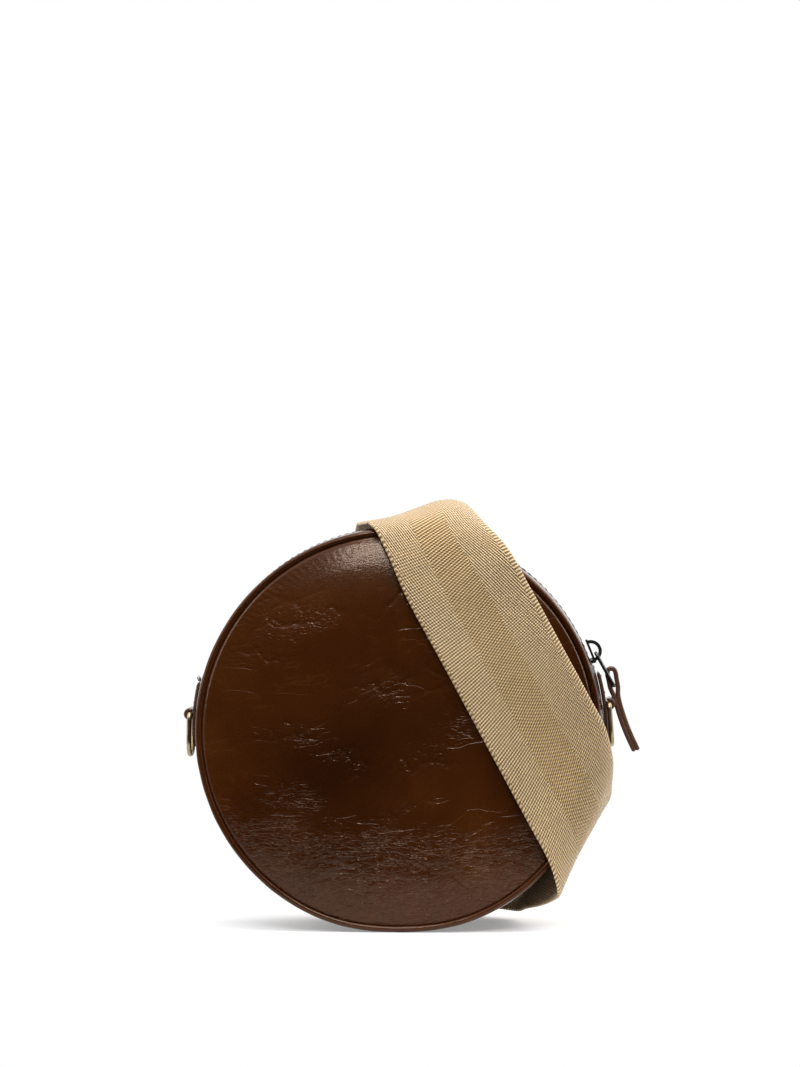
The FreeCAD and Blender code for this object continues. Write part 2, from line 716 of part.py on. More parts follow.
def floor_end():
    """Left to the hook's eye, round it, and back along itself to the sewn end."""
    lift = Vector(0, FLOOR_Y, FLOOR_EYE.z)
    start = Vector(size("floor_end"), 0, 0) + lift
    bend = Vector(size("floor_end") - WEB, 0, 0) + lift
    hub = FLOOR_EYE
    arm = bend - hub
    touch = math.degrees(math.acos(FOLD / arm.Length))
    low = hub + Rotation(Vector(0, 0, 1), -touch).multVec(arm) * (FOLD / arm.Length)
    high = Vector(low.x, 2 * hub.y - low.y, low.z)
    sewn = Vector(bend.x, 2 * hub.y - bend.y, bend.z)
    tail = sewn + Vector(size("fold_length"), 0, 0)
    return folded_end([
        Part.LineSegment(start, bend).toShape(),
        Part.LineSegment(bend, low).toShape(),
        Part.Arc(low, hub - Vector(FOLD, 0, 0), high).toShape(),
        Part.LineSegment(high, sewn).toShape(),
        Part.LineSegment(sewn, tail).toShape(),
    ], Vector(0, 0, 1), -HALF_WEB)


strap = drape().fuse([hanging_end(), floor_end()]).removeSplitter()
shaped("strap_webbing", strap.Solids[0])

# Adjuster: two side plates, two outer bars before the webbing and a middle bar behind it
HANG_MIDDLE = "(sizes.webbing_width / 2 - sizes.hang_left)"
SLOT_HALF = "(sizes.webbing_width / 2 + sizes.adjuster_play)"
BAR = "sizes.adjuster_bar"
CROWN_FORMULA = "(sizes.gusset_width / 2 + sizes.leather / 2 + sizes.panel_crown)"
HANG_FORMULA = f"({CROWN_FORMULA} + sizes.hang_offset)"
FOLD_FORMULA = "(sizes.eye_rod + sizes.seam_gap + sizes.webbing_thickness / 2)"
HEIGHT_FORMULA = "(sizes.bag_radius - sizes.base_sag)"
ADJUSTER_Z = f"({HEIGHT_FORMULA} + sizes.hang_eye_height + sizes.adjuster_height)"
OUTER_BAR_Y = f"({HANG_FORMULA} - sizes.webbing_thickness / 2 - sizes.seam_gap - {BAR})"
MIDDLE_BAR_Y = (
    f"({HANG_FORMULA} + 2 * {FOLD_FORMULA} - {BAR} - sizes.seam_gap - sizes.webbing_thickness / 2)"
)
bar_length = f"2 * {SLOT_HALF} + sizes.adjuster_side"
bar_start = f"{HANG_MIDDLE} - {SLOT_HALF} - sizes.adjuster_side / 2"
adjuster_parts = [
    rod("adjuster_middle", BAR, bar_length, (bar_start, MIDDLE_BAR_Y, ADJUSTER_Z), "X"),
]
for sign, name in (("+", "upper"), ("-", "lower")):
    z = f"{ADJUSTER_Z} {sign} (sizes.adjuster_height / 2 - {BAR})"
    adjuster_parts.append(rod(f"adjuster_{name}", BAR, bar_length, (bar_start, OUTER_BAR_Y, z), "X"))
for start, name in (
    (f"{HANG_MIDDLE} - {SLOT_HALF} - sizes.adjuster_side", "left"),
    (f"{HANG_MIDDLE} + {SLOT_HALF}", "right"),
):
    adjuster_parts.append(block(
        f"adjuster_side_{name}",
        ("sizes.adjuster_side", f"{MIDDLE_BAR_Y} - {OUTER_BAR_Y} + 2 * {BAR}", "sizes.adjuster_height"),
        (start, f"{OUTER_BAR_Y} - {BAR}", f"{ADJUSTER_Z} - sizes.adjuster_height / 2"),
    ))
piece(fused("adjuster", adjuster_parts), "strap_adjuster")

# Snap hooks: made hanging under the eye's bar, which is at zero, then set at each end of the strap
EYE_FOOT = "(-2 * sizes.eye_rod - sizes.eye_slot_height)"
BARREL_TOP = f"({EYE_FOOT} + sizes.eye_rod)"
BARREL_FOOT = f"({EYE_FOOT} - sizes.barrel_length)"
COLLAR_TOP = f"({BARREL_FOOT} - sizes.swivel_end_play)"
COLLAR_FOOT = f"({COLLAR_TOP} - sizes.collar_length)"
CLAW_HUB = f"({COLLAR_FOOT} - sizes.claw_radius - sizes.claw_rod / 2)"


def hook_eye(name):
    """A flat loop for the webbing with a bored barrel under it."""
    half = HALF_WEB + size("adjuster_play") + EYE
    foot = -2 * EYE - size("eye_slot_height")
    corner = size("eye_corner_radius")
    corners = [(Vector(x, 0, z), corner) for x, z in ((-half, 0), (half, 0), (half, foot), (-half, foot))]
    loop = doc.addObject("Part::Feature", f"{name}_eye_loop")
    loop.Shape = bent_rod(rounded_wire(corners), EYE, size("wire_bend_step"))
    barrel = rod(f"{name}_barrel", "sizes.barrel_radius", f"{BARREL_TOP} - {BARREL_FOOT}",
                 ("0", "0", BARREL_FOOT), "Z")
    bore = rod(f"{name}_bore", "sizes.post_radius + sizes.swivel_play",
               f"{BARREL_TOP} - {BARREL_FOOT} + 2 * sizes.overrun",
               ("0", "0", f"{BARREL_FOOT} - sizes.overrun"), "Z")
    return piece(cut(f"{name}_bored_eye", fused(f"{name}_eye_body", [loop, barrel]), bore), f"{name}_eye")


def around_claw(angle):
    """Formulas for a point on the claw's middle line at an angle from the right."""
    across = f"sizes.claw_radius * cos({angle} * 1 deg)"
    up = f"({CLAW_HUB} + sizes.claw_radius * sin({angle} * 1 deg))"
    return across, up


def hook_claw(name):
    """A headed post, a collar and a bent claw whose end is forked for the gate's pin."""
    post = rod(f"{name}_post", "sizes.post_radius",
               f"{BARREL_TOP} - {COLLAR_TOP} + sizes.swivel_end_play + sizes.post_head",
               ("0", "0", COLLAR_TOP), "Z")
    head = rod(f"{name}_head", "sizes.post_head_radius", "sizes.post_head",
               ("0", "0", f"{BARREL_TOP} + sizes.swivel_end_play"), "Z")
    collar = rod(f"{name}_collar", "sizes.barrel_radius", "sizes.collar_length", ("0", "0", COLLAR_FOOT), "Z")
    bow_start = ("0", "-sizes.claw_rod", CLAW_HUB)
    bow_width = "2 * sizes.claw_rod"
    outer = rod(f"{name}_bow_outer", "sizes.claw_radius + sizes.claw_rod", bow_width, bow_start, "Y")
    outer.setExpression("Angle", "360 - sizes.gate_angle + sizes.nose_angle")
    outer.Placement.Rotation = AXES["Y"] * Rotation(Vector(0, 0, 1), -size("nose_angle"))
    inner = rod(f"{name}_bow_inner", "sizes.claw_radius - sizes.claw_rod", bow_width, bow_start, "Y")
    bow = cut(f"{name}_bow", outer, inner)
    pin_x, pin_z = around_claw("sizes.gate_pin_angle")
    room = "(2 * sizes.claw_rod + 4 * sizes.seam_gap)"
    fork_sizes = (room, "sizes.gate_width + 2 * sizes.swivel_end_play", room)
    fork_side = "-sizes.gate_width / 2 - sizes.swivel_end_play"
    fork = block(f"{name}_fork", fork_sizes, (f"{pin_x} - {room} / 2", fork_side, f"{pin_z} - {room} / 2"))
    forked = cut(f"{name}_forked", fused(f"{name}_claw_body", [post, head, collar, bow]), fork)
    pin = rod(f"{name}_pin", "sizes.gate_pin_radius", "2 * sizes.claw_rod - 2 * sizes.seam_gap",
              (pin_x, "-sizes.claw_rod + sizes.seam_gap", pin_z), "Y")
    return piece(fused(f"{name}_pinned_claw", [forked, pin]), f"{name}_claw")


def hook_gate(name):
    """A short rod from the pin to just before the claw's nose, with an eye round the pin."""
    pin_x, pin_z = around_claw("sizes.gate_pin_angle")
    eye = rod(f"{name}_gate_ring", "sizes.gate_eye_radius", "sizes.gate_width",
              (pin_x, "-sizes.gate_width / 2", pin_z), "Y")
    hole = rod(f"{name}_gate_hole", "sizes.gate_pin_radius + sizes.swivel_play",
               "sizes.gate_width + 2 * sizes.overrun",
               (pin_x, "-sizes.gate_width / 2 - sizes.overrun", pin_z), "Y")
    turn = math.radians(size("gate_pin_angle"))
    nose = math.radians(size("nose_angle"))
    radius = size("claw_radius")
    run = Vector(radius * (math.cos(nose) - math.cos(turn)), 0, radius * (math.sin(nose) - math.sin(turn)))
    bar = doc.addObject("Part::Prism", f"{name}_gate_bar")
    bar.setExpression("Polygon", "sizes.wire_sides")
    bar.setExpression("Circumradius", "sizes.gate_rod")
    bar.Height = run.Length - size("gate_rod") - GAP
    bar.Placement = Placement(Vector(), Rotation(Vector(0, 0, 1), run))
    place(bar, (pin_x, "0", pin_z))
    return piece(cut(f"{name}_bored_gate", fused(f"{name}_gate_body", [eye, bar]), hole), f"{name}_gate")


hang_middle = HALF_WEB - size("hang_left")
HOOK_PLACES = {
    "hanging_hook": Placement(HANG_EYE + Vector(hang_middle, 0, 0), Rotation()),
    "floor_hook": Placement(FLOOR_EYE, Rotation(Vector(0, 0, 1), FORWARD, Vector(1, 0, 0), "ZXY")),
}
for name, where in HOOK_PLACES.items():
    for hook_part in (hook_eye(name), hook_claw(name), hook_gate(name)):
        hook_part.Placement = where

doc.recompute()
faults = [obj.Name for obj in doc.Objects if {"Invalid", "Error"} & set(obj.State)]
faults += [obj.Label for obj in pieces if obj.Shape.isNull() or not obj.Shape.isValid()]
if faults:
    raise RuntimeError(f"failed objects: {faults}")
os.makedirs("parts", exist_ok=True)
for obj in pieces:
    obj.Shape.exportStep(f"parts/{obj.Label}.step")
    print(obj.Label, len(obj.Shape.Solids), round(obj.Shape.Volume))
print("zip teeth on each tape:", tooth_count)
print("pull pivot", PULL_PIVOT, "link foot", LINK_FOOT)
print("hooks", HANG_EYE, FLOOR_EYE, "adjuster bar", MIDDLE_BAR)
print("slider angle", SLIDER_ANGLE, "centre", CENTRE_HEIGHT)
print("ring bars", [on_rim(a, BAR_REACH, 0) for a in (LEFT_JOIN, RIGHT_JOIN)])
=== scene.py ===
import math

import bmesh
import bpy
import numpy as np
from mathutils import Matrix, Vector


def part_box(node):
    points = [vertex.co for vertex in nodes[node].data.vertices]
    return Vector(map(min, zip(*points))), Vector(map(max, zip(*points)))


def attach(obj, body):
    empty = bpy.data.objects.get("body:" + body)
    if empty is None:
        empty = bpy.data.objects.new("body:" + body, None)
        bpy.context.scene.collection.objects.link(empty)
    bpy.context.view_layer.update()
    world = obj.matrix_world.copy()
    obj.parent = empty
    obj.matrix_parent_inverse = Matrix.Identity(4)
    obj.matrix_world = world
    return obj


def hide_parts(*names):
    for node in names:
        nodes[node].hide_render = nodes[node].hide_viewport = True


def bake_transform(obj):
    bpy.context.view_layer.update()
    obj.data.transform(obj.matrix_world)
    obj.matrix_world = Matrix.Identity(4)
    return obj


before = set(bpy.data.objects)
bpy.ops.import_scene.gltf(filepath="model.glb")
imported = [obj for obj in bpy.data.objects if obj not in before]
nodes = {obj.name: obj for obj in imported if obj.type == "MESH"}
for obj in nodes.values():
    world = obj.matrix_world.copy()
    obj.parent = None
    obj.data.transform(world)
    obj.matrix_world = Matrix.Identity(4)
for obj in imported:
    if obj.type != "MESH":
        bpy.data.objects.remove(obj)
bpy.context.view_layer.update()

# Front and back panels
# Round pieces of glazed, creased cowhide, cut flat and pulled into a shallow pillow over a thin
# padding. Each is sewn at its rim to the gusset, with the piping caught in the seam.
piping_low, piping_high = (np.array(corner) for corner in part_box("front_piping"))
BAG_RADIUS = piping_high[0]
CENTRE_HEIGHT = piping_high[2] - BAG_RADIUS
BASE_SAG = BAG_RADIUS - CENTRE_HEIGHT
BASE_SPREAD = 0.26
PIPING_RADIUS = (piping_high[1] - piping_low[1]) / 2
SEAM_DEPTH = -(piping_low[1] + piping_high[1]) / 2
SEAM_BITE = 0.0006
PANEL_INSET = 2 * PIPING_RADIUS - SEAM_BITE
PANEL_RIM = 0.0010
PANEL_CROWN = 0.0080
PANEL_CELLS = 300


def outline_radius(angle, inset):
    """The bag's outline: a circle that sinks at the floor by a bell curve of the angle, less an inset."""
    from_base = (angle + np.pi / 2 + np.pi) % (2 * np.pi) - np.pi
    return BAG_RADIUS - inset - BASE_SAG * np.exp(-((from_base / BASE_SPREAD) ** 2))


def skin(name, grid, loops=(False, False), pattern=None, outward=False):
    """A smooth mesh over a grid of points or a stack of grids: a quad for each cell, looped sides closed."""
    number = np.arange(grid.size // 3).reshape(grid.shape[:-1])
    if loops[0]:
        number = np.concatenate([number, number[..., :1, :]], axis=-2)
    if loops[1]:
        number = np.concatenate([number, number[..., :1]], axis=-1)
    corners = (number[..., :-1, :-1], number[..., :-1, 1:], number[..., 1:, 1:], number[..., 1:, :-1])
    quads = np.stack(corners, axis=-1).reshape(-1, 4)
    mesh = bpy.data.meshes.new(name)
    mesh.vertices.add(grid.size // 3)
    mesh.vertices.foreach_set("co", np.ascontiguousarray(grid, np.float32).ravel())
    mesh.loops.add(quads.size)
    mesh.loops.foreach_set("vertex_index", quads.ravel().astype(np.int32))
    mesh.polygons.add(len(quads))
    mesh.polygons.foreach_set("loop_start", np.arange(0, quads.size, 4, dtype=np.int32))
    mesh.update(calc_edges=True)
    if pattern is not None:
        layer = mesh.uv_layers.new(name="pattern")
        layer.data.foreach_set("uv", pattern.reshape(-1, 2)[quads.ravel()].astype(np.float32).ravel())
    if outward:
        shell = bmesh.new()
        shell.from_mesh(mesh)
        bmesh.ops.remove_doubles(shell, verts=shell.verts, dist=1e-6)
        bmesh.ops.recalc_face_normals(shell, faces=shell.faces)
        shell.to_mesh(mesh)
        shell.free()
    mesh.shade_smooth()
    made = bpy.data.objects.new(name, mesh)
    bpy.context.scene.collection.objects.link(made)
    return made


WAVE_SPREAD = 0.45


def waves(x, z, seed, count, lengths, lean):
    """A smooth random field: a sum of sines over plane waves of random phase and length, about one lean."""
    draw = np.random.default_rng(seed)
    turn = math.radians(90) + lean + draw.normal(0, WAVE_SPREAD, count)
    pace = 2 * np.pi / draw.uniform(*lengths, count)
    phase = draw.uniform(0, 2 * np.pi, count)
    along = x[..., None] * np.cos(turn) + z[..., None] * np.sin(turn)
    return np.sin(along * pace + phase).sum(-1) / math.sqrt(count / 2)


def crease(field, width):
    """A soft ridge of height one along the lines where a field crosses zero."""
    return np.exp(-((field / width) ** 2))


class Signal:
    """One output in a tree of nodes. An operator on it adds a Math node."""

    def __init__(self, shop, socket):
        self.shop = shop
        self.socket = socket

    def math(self, operation, first, second):
        return self.shop.node("ShaderNodeMath", {"operation": operation}, {0: first, 1: second})

    def __add__(self, other):
        return self.math("ADD", self, other)

    __radd__ = __add__

    def __sub__(self, other):
        return self.math("SUBTRACT", self, other)

    def __rsub__(self, other):
        return self.math("SUBTRACT", other, self)

    def __mul__(self, other):
        return self.math("MULTIPLY", self, other)

    __rmul__ = __mul__

    def __abs__(self):
        return self.math("ABSOLUTE", self, 0.0)

    def at_least(self, other):
        return self.math("MAXIMUM", self, other)

    def wave(self, pitch):
        """The sine of a length, once round for each pitch."""
        return self.math("SINE", self * (2 * math.pi / pitch), 0.0)

    def step(self, low, high):
        """A soft step from zero at the low value to one at the high value."""
        return self.shop.node("ShaderNodeMapRange", {"interpolation_type": "SMOOTHSTEP"},
                              {"Value": self, "From Min": low, "From Max": high})

    def axes(self):
        """The three coordinates of a vector."""
        x = self.shop.node("ShaderNodeSeparateXYZ", {}, {0: self})
        return [Signal(self.shop, x.socket.node.outputs[axis]) for axis in "XYZ"]


class Shop:
    """A tree of shader nodes and the one way to add to it."""

    def __init__(self, tree):
        self.tree = tree

    def fill(self, sockets, values):
        for key, value in values.items():
            if isinstance(value, Signal):
                self.tree.links.new(value.socket, sockets[key])
            else:
                sockets[key].default_value = value

    def node(self, kind, settings=None, values=None, output=0):
        made = self.tree.nodes.new(kind)
        for key, value in (settings or {}).items():
            if key == "stops":
                ramp = made.color_ramp.elements
                while len(ramp) < len(value):
                    ramp.new(0.5)
                for stop, (place, shade) in zip(ramp, value):
                    stop.position = place
                    stop.color = (*shade, 1.0)
            else:
                setattr(made, key, value)
        self.fill(made.inputs, values or {})
        return Signal(self, made.outputs[output])


class Finish(Shop):
    """A new material with a Principled shader."""

    def __init__(self, name):
        self.material = bpy.data.materials.new(name)
        self.material.use_nodes = True
        super().__init__(self.material.node_tree)
        self.shader = self.tree.nodes["Principled BSDF"]

    def surface(self, **values):
        """Set or link the shader's own sockets, named with underscores for spaces."""
        self.fill(self.shader.inputs, {key.replace("_", " "): value for key, value in values.items()})
        return self.material

    def places(self, scale=(1.0, 1.0, 1.0), lean=0.0):
        """Object coordinates, first turned by a lean in the plane of the front, then scaled."""
        here = self.node("ShaderNodeTexCoord", output="Object")
        turned = self.node("ShaderNodeMapping", {}, {"Vector": here, "Rotation": (0.0, lean, 0.0)})
        return self.node("ShaderNodeMapping", {}, {"Vector": turned, "Scale": scale})

    def noise(self, vector, scale, detail=2.0, distortion=0.0):
        values = {"Vector": vector, "Scale": scale, "Detail": detail, "Distortion": distortion}
        return self.node("ShaderNodeTexNoise", {}, values)

    def lines(self, vector, scale, sharpness):
        """Thin lines where a noise on stretched places passes its middle value."""
        stretched = self.node("ShaderNodeMapping", {}, {"Vector": vector, "Scale": scale})
        return (1.0 - abs(self.noise(stretched, 1.0, 2.0) - 0.5) * sharpness).at_least(0.0)

    def ramp(self, value, stops):
        return self.node("ShaderNodeValToRGB", {"stops": stops}, {"Fac": value})

    def bump(self, height, depth, strength=1.0):
        return self.node("ShaderNodeBump", {}, {"Height": height, "Distance": depth, "Strength": strength})


LEATHER_DARK = (0.0200, 0.0050, 0.0010)
LEATHER_MIDDLE = (0.0400, 0.0102, 0.0017)
LEATHER_WARM = (0.0820, 0.0245, 0.0042)


def creased_leather(name, crease_depth, shades):
    """Glazed hide: warm patches on dark brown, grain, creases where stretched noises pass their middles, a
    painted highlight along the long creases and painted shade in the fine ones.
    """
    finish = Finish(name)
    hide = finish.places(lean=math.radians(8))
    drift = finish.node("ShaderNodeTexNoise", {}, {"Vector": hide, "Scale": 13.0, "Detail": 2.0}, "Color")
    bent = finish.node("ShaderNodeVectorMath", {"operation": "MULTIPLY_ADD"},
                       {0: drift, 1: (0.035, 0.035, 0.035), 2: hide})
    patches = finish.noise(bent, 14.0, 3.0)
    spread = finish.noise(bent, 22.0, 3.0)
    worn = finish.node("ShaderNodeAttribute", {"attribute_name": "worn"}, output="Fac")
    worked = (spread * 0.65 + worn * 0.34 + 0.10).step(0.46, 0.70)
    broken = finish.noise(bent, 55.0, 2.0).step(0.40, 0.58)
    long_creases_and_glints = finish.lines(bent, (30.0, 30.0, 100.0), 75.0) * broken
    short_creases = finish.lines(bent, (120.0, 120.0, 330.0), 26.0) * worked
    fine_creases_and_shade = finish.lines(bent, (230.0, 230.0, 560.0), 20.0) * (worked * 0.8 + 0.2)
    knots = finish.noise(hide, 300.0, 2.0)
    flattened = finish.places((1.0, 1.0, 1.7), math.radians(14))
    kinked = finish.node("ShaderNodeVectorMath", {"operation": "MULTIPLY_ADD"},
                         {0: drift, 1: (0.06, 0.06, 0.06), 2: flattened})
    pebbles = finish.node("ShaderNodeTexVoronoi", {"feature": "DISTANCE_TO_EDGE"},
                          {"Vector": kinked, "Scale": 420.0}, "Distance").step(0.0, 0.30)
    grain = finish.noise(hide, 1500.0, 2.0)
    creases = (long_creases_and_glints * 0.45 + short_creases * 0.34 + fine_creases_and_shade * 0.22) * (worn * 1.05 + 0.5)
    height = pebbles * (0.05 + worked * 0.03) + knots * 0.10 + grain * 0.03 - creases
    # Lighter along the long creases, a painted highlight, and darker in the fine creases, painted shade.
    tone = patches * 0.55 + 0.215 + long_creases_and_glints * 0.05 - fine_creases_and_shade * 0.03 + (grain - 0.5) * 0.14
    colour = finish.ramp(tone, [(0.36, shades[0]), (0.52, shades[1]), (0.70, shades[2])])
    return finish.surface(
        Base_Color=colour, Roughness=0.14 + patches * 0.08 + fine_creases_and_shade * 0.04, IOR=1.41,
        Specular_Tint=(1.0, 0.78, 0.62, 1.0), Normal=finish.bump(height, crease_depth, 0.8),
    )


HIDE_SHADES = (LEATHER_DARK, LEATHER_MIDDLE, LEATHER_WARM)
PANEL_CREASE = 0.00028
panel_leather = creased_leather("panel_leather", PANEL_CREASE, HIDE_SHADES)


def disc(cells, side, inset):
    """A square grid pressed into a disc and fitted to the outline: x, z and the share of the radius."""
    line = np.linspace(-1, 1, cells + 1)
    u, v = np.meshgrid(line * side, line, indexing="ij")
    across = u * np.sqrt(1 - v ** 2 / 2)
    up = v * np.sqrt(1 - u ** 2 / 2)
    reach = outline_radius(np.arctan2(up, across), inset)
    return across * reach, up * reach, np.hypot(across, up)


def groove(x, z, line, width):
    """A soft groove of depth one along a line of points, thinning out at both of its ends."""
    deepest = np.zeros(x.shape)
    for i, (start, end) in enumerate(zip(line[:-1], line[1:])):
        run = end - start
        along = np.clip(((x - start[0]) * run[0] + (z - start[1]) * run[1]) / (run @ run), 0, 1)
        away = np.hypot(x - start[0] - along * run[0], z - start[1] - along * run[1])
        fade = np.sin(np.pi * (i + along) / (len(line) - 1)) ** 0.5
        deepest = np.maximum(deepest, fade * np.exp(-((away / width) ** 2)))
    return deepest


FOLD_LINES = [
    [(-0.078, 0.038), (-0.060, 0.034), (-0.041, 0.026)],
    [(-0.078, 0.037), (-0.056, 0.047), (-0.040, 0.049), (-0.021, 0.055)],
    [(-0.079, -0.006), (-0.046, 0.001), (-0.019, -0.014), (-0.010, -0.012)],
    [(-0.010, -0.039), (0.004, -0.034), (0.017, -0.030)],
    [(-0.050, -0.039), (-0.019, -0.047), (0.014, -0.058), (0.032, -0.052), (0.052, -0.045)],
    [(-0.066, -0.028), (-0.040, -0.030), (-0.012, -0.050)],
    [(0.022, 0.012), (0.030, 0.000), (0.034, -0.008)],
    [(-0.012, 0.050), (0.004, 0.058), (0.016, 0.063)],
    [(-0.058, -0.050), (-0.030, -0.056), (-0.004, -0.066)],
    [(-0.030, 0.022), (-0.008, 0.018), (0.012, 0.026)],
    [(-0.010, -0.018), (0.014, -0.012), (0.036, -0.020)],
]
FOLD_WIDTH = 0.0009
FOLD_DEPTH = 0.00022
WEAR_WIDTH = 0.012
WEAR_BESIDE = 0.56
WEAR_FADE = 4.0
WEAR_START = -0.024
WEAR_FULL = -0.050
DENT_DEPTH = 0.00016
DENT_TOP_SHARE = 0.8
DENT_LENGTHS = (0.035, 0.095)
DENT_LEAN = math.radians(12)
SLACK_SINK = 0.00024
CRINKLE_DEPTH = 0.00022
CRINKLE_LENGTHS = (0.014, 0.050)
CRINKLE_LEAN = math.radians(14)
CRINKLE_WIDTH_SHARE = 0.10
WORKED_LENGTHS = (0.05, 0.12)
PUCKER_DEPTH = 0.00003
PUCKER_COUNT = 165
PUCKER_SHARE = 0.945
PUCKER_SPREAD_SHARE = 0.028
SWAY = 0.0016
SWAY_LENGTHS = (0.008, 0.024)
ROLL_SHARE = 0.975
ROLL_DEPTH = 0.0012


def panel_grid(side, seed):
    """A disc that bulges by one less its radius share to the fourth, with a rolled rim, dents and folds."""
    x, z, share = disc(PANEL_CELLS, side, PANEL_INSET)
    swell = 1 - share ** 4
    rolled = np.clip((share - ROLL_SHARE) / (1 - ROLL_SHARE), 0, 1) ** 2
    slack = np.clip(1 - share ** 8, 0, 1)
    dents = waves(x, z, seed, 18, DENT_LENGTHS, DENT_LEAN)
    crinkles = crease(waves(x, z, seed + 1, 14, CRINKLE_LENGTHS, CRINKLE_LEAN), CRINKLE_WIDTH_SHARE)
    worked = np.clip(waves(x, z, seed + 2, 10, WORKED_LENGTHS, 0.0) * 0.7 + 0.15, 0, 1)
    lift = DENT_DEPTH * np.minimum(dents, DENT_TOP_SHARE) - SLACK_SINK - CRINKLE_DEPTH * crinkles * worked
    lift *= slack
    by_rim = np.exp(-((share - PUCKER_SHARE) / PUCKER_SPREAD_SHARE) ** 2)
    puckers = np.sin(np.arctan2(z, x) * PUCKER_COUNT + 4 * dents) * by_rim
    lift += PUCKER_DEPTH * puckers * np.clip(worked + 0.3, 0, 1)
    sway_x, sway_z = (SWAY * waves(x, z, seed + 3 + i, 10, SWAY_LENGTHS, i * 1.5) for i in range(2))
    for line in FOLD_LINES:
        lift -= FOLD_DEPTH * slack * groove(-side * x + sway_x, z + sway_z, np.array(line), FOLD_WIDTH)
    depth = SEAM_DEPTH + PANEL_RIM + PANEL_CROWN * swell + lift - ROLL_DEPTH * rolled
    return np.stack([x, side * depth, CENTRE_HEIGHT + z], axis=-1)


def wear(side):
    """How worked the leather is, from zero to one: most beside the folds and towards the base."""
    x, z, _ = disc(PANEL_CELLS, side, PANEL_INSET)
    worn = np.clip((WEAR_START - z) / (WEAR_START - WEAR_FULL), 0, 1)
    for line in FOLD_LINES:
        beside = groove(-side * x, z, np.array(line), WEAR_WIDTH)
        worn = np.maximum(worn, (WEAR_BESIDE - WEAR_FADE * np.clip(z, 0, None)) * beside)
    return worn.astype(np.float32)


def thicken(made, thickness):
    """Give an open sheet its thickness behind its face."""
    wall = made.modifiers.new("thickness", "SOLIDIFY")
    wall.thickness = thickness
    wall.offset = -1.0
    return made


def dress(made, material, body, slot, *stands_for):
    """Finish a piece: its material, the body it moves with and the nodes it stands for. The slot is not used.
    """
    made.data.materials.clear()
    made.data.materials.append(material)
    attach(made, body)
    if stands_for:
        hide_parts(*stands_for)
    return made


for side, name, seed in ((-1, "front", 11), (1, "back", 41)):
    panel = skin(f"{name}_leather", panel_grid(side, seed))
    panel.data.attributes.new("worn", "FLOAT", "POINT").data.foreach_set("value", wear(side).ravel())
    dress(panel, panel_leather, "bag", "brown_leather", f"{name}_panel")

# Linings
# Plain woven cotton behind each panel and round the gusset, sewn into the same seams as the leather.
# They close the inside of the bag.
LINING_CELLS = 72
LINING_EDGE_GAP = 0.0004
LINING_BEHIND = 0.0010
LINING_DEPTH = SEAM_DEPTH - LINING_BEHIND
LINING_RIPPLE = 0.0002
LINING_RIPPLE_LENGTHS = (0.04, 0.09)
LINING_THICKNESS = 0.0005
LINING_THREAD = 0.0009
LINING_SHADES = ((0.17, 0.115, 0.06), (0.34, 0.25, 0.15))
WEAVE_DEPTH = 0.00015


def woven_cloth(name, thread, under, over):
    """Plain weave: sets of crossed threads, each a sine of the place, with an uneven yarn."""
    finish = Finish(name)
    here = finish.node("ShaderNodeTexCoord", output="Object")
    x, y, z = (axis.wave(thread) for axis in here.axes())
    weave = x * z + y * 0.5
    yarn = finish.noise(here, 900.0, 2.0)
    colour = finish.ramp(weave * 0.25 + yarn * 0.5 + 0.25, [(0.25, under), (0.75, over)])
    return finish.surface(Base_Color=colour, Roughness=0.85, Normal=finish.bump(weave, WEAVE_DEPTH, 0.6))


lining_cloth = woven_cloth("lining_cloth", LINING_THREAD, *LINING_SHADES)
for side, name in ((-1, "front"), (1, "back")):
    x, z, share = disc(LINING_CELLS, side, PANEL_INSET + LINING_EDGE_GAP)
    ripple = LINING_RIPPLE * waves(x, z, 5, 8, LINING_RIPPLE_LENGTHS, 0.5) * (1 - share ** 4)
    depth = LINING_DEPTH + ripple
    lining = skin(f"{name}_lining_cloth", np.stack([x, side * depth, CENTRE_HEIGHT + z], axis=-1))
    dress(thicken(lining, LINING_THICKNESS), lining_cloth, "bag", "lining_cloth", f"{name}_lining")

# Piping
# A thin cord wrapped in a bias strip of the same leather, sewn into each seam. Its join is at the base,
# and its thickness varies a little along the way.
PIPING_STEPS = 420
PIPING_SIDES = 18
PIPING_CREASE = 0.00010
PIPING_WARM = (0.060, 0.019, 0.006)
UNEVEN_SHARE = 0.02
UNEVEN_LENGTHS = (0.05, 0.4)
piping_leather = creased_leather("piping_leather", PIPING_CREASE, (LEATHER_DARK, LEATHER_MIDDLE, PIPING_WARM))


def tube(path, radius, lift, sides=18, closed=True):
    """A round section carried along a flat path: cosine along its in-plane normal, sine along the lift."""
    ahead = np.roll(path, -1, axis=0) - np.roll(path, 1, axis=0) if closed else np.gradient(path, axis=0)
    spoke = np.cross(lift, ahead)
    spoke /= np.linalg.norm(spoke, axis=1, keepdims=True)
    turn = np.linspace(0, 2 * np.pi, sides, endpoint=False)[None, :, None]
    radius = np.broadcast_to(radius, len(path))[:, None, None]
    return path[:, None] + radius * (np.cos(turn) * spoke[:, None] + np.sin(turn) * np.asarray(lift))


for side, name in ((-1, "front"), (1, "back")):
    angle = np.linspace(0, 2 * np.pi, PIPING_STEPS, endpoint=False) - np.pi / 2
    reach = outline_radius(angle, PIPING_RADIUS)
    depth = np.full(PIPING_STEPS, side * SEAM_DEPTH)
    line = np.stack([reach * np.cos(angle), depth, CENTRE_HEIGHT + reach * np.sin(angle)], axis=-1)
    uneven = 1 + UNEVEN_SHARE * (waves(angle, angle * 0, 8, 12, UNEVEN_LENGTHS, math.radians(-90)) - 1)
    cord = tube(line, PIPING_RADIUS * uneven, (0, 1, 0), PIPING_SIDES)
    piping = skin(f"{name}_piping_leather", cord, (True, True), outward=True)
    dress(piping, piping_leather, "bag", "brown_leather", f"{name}_piping")

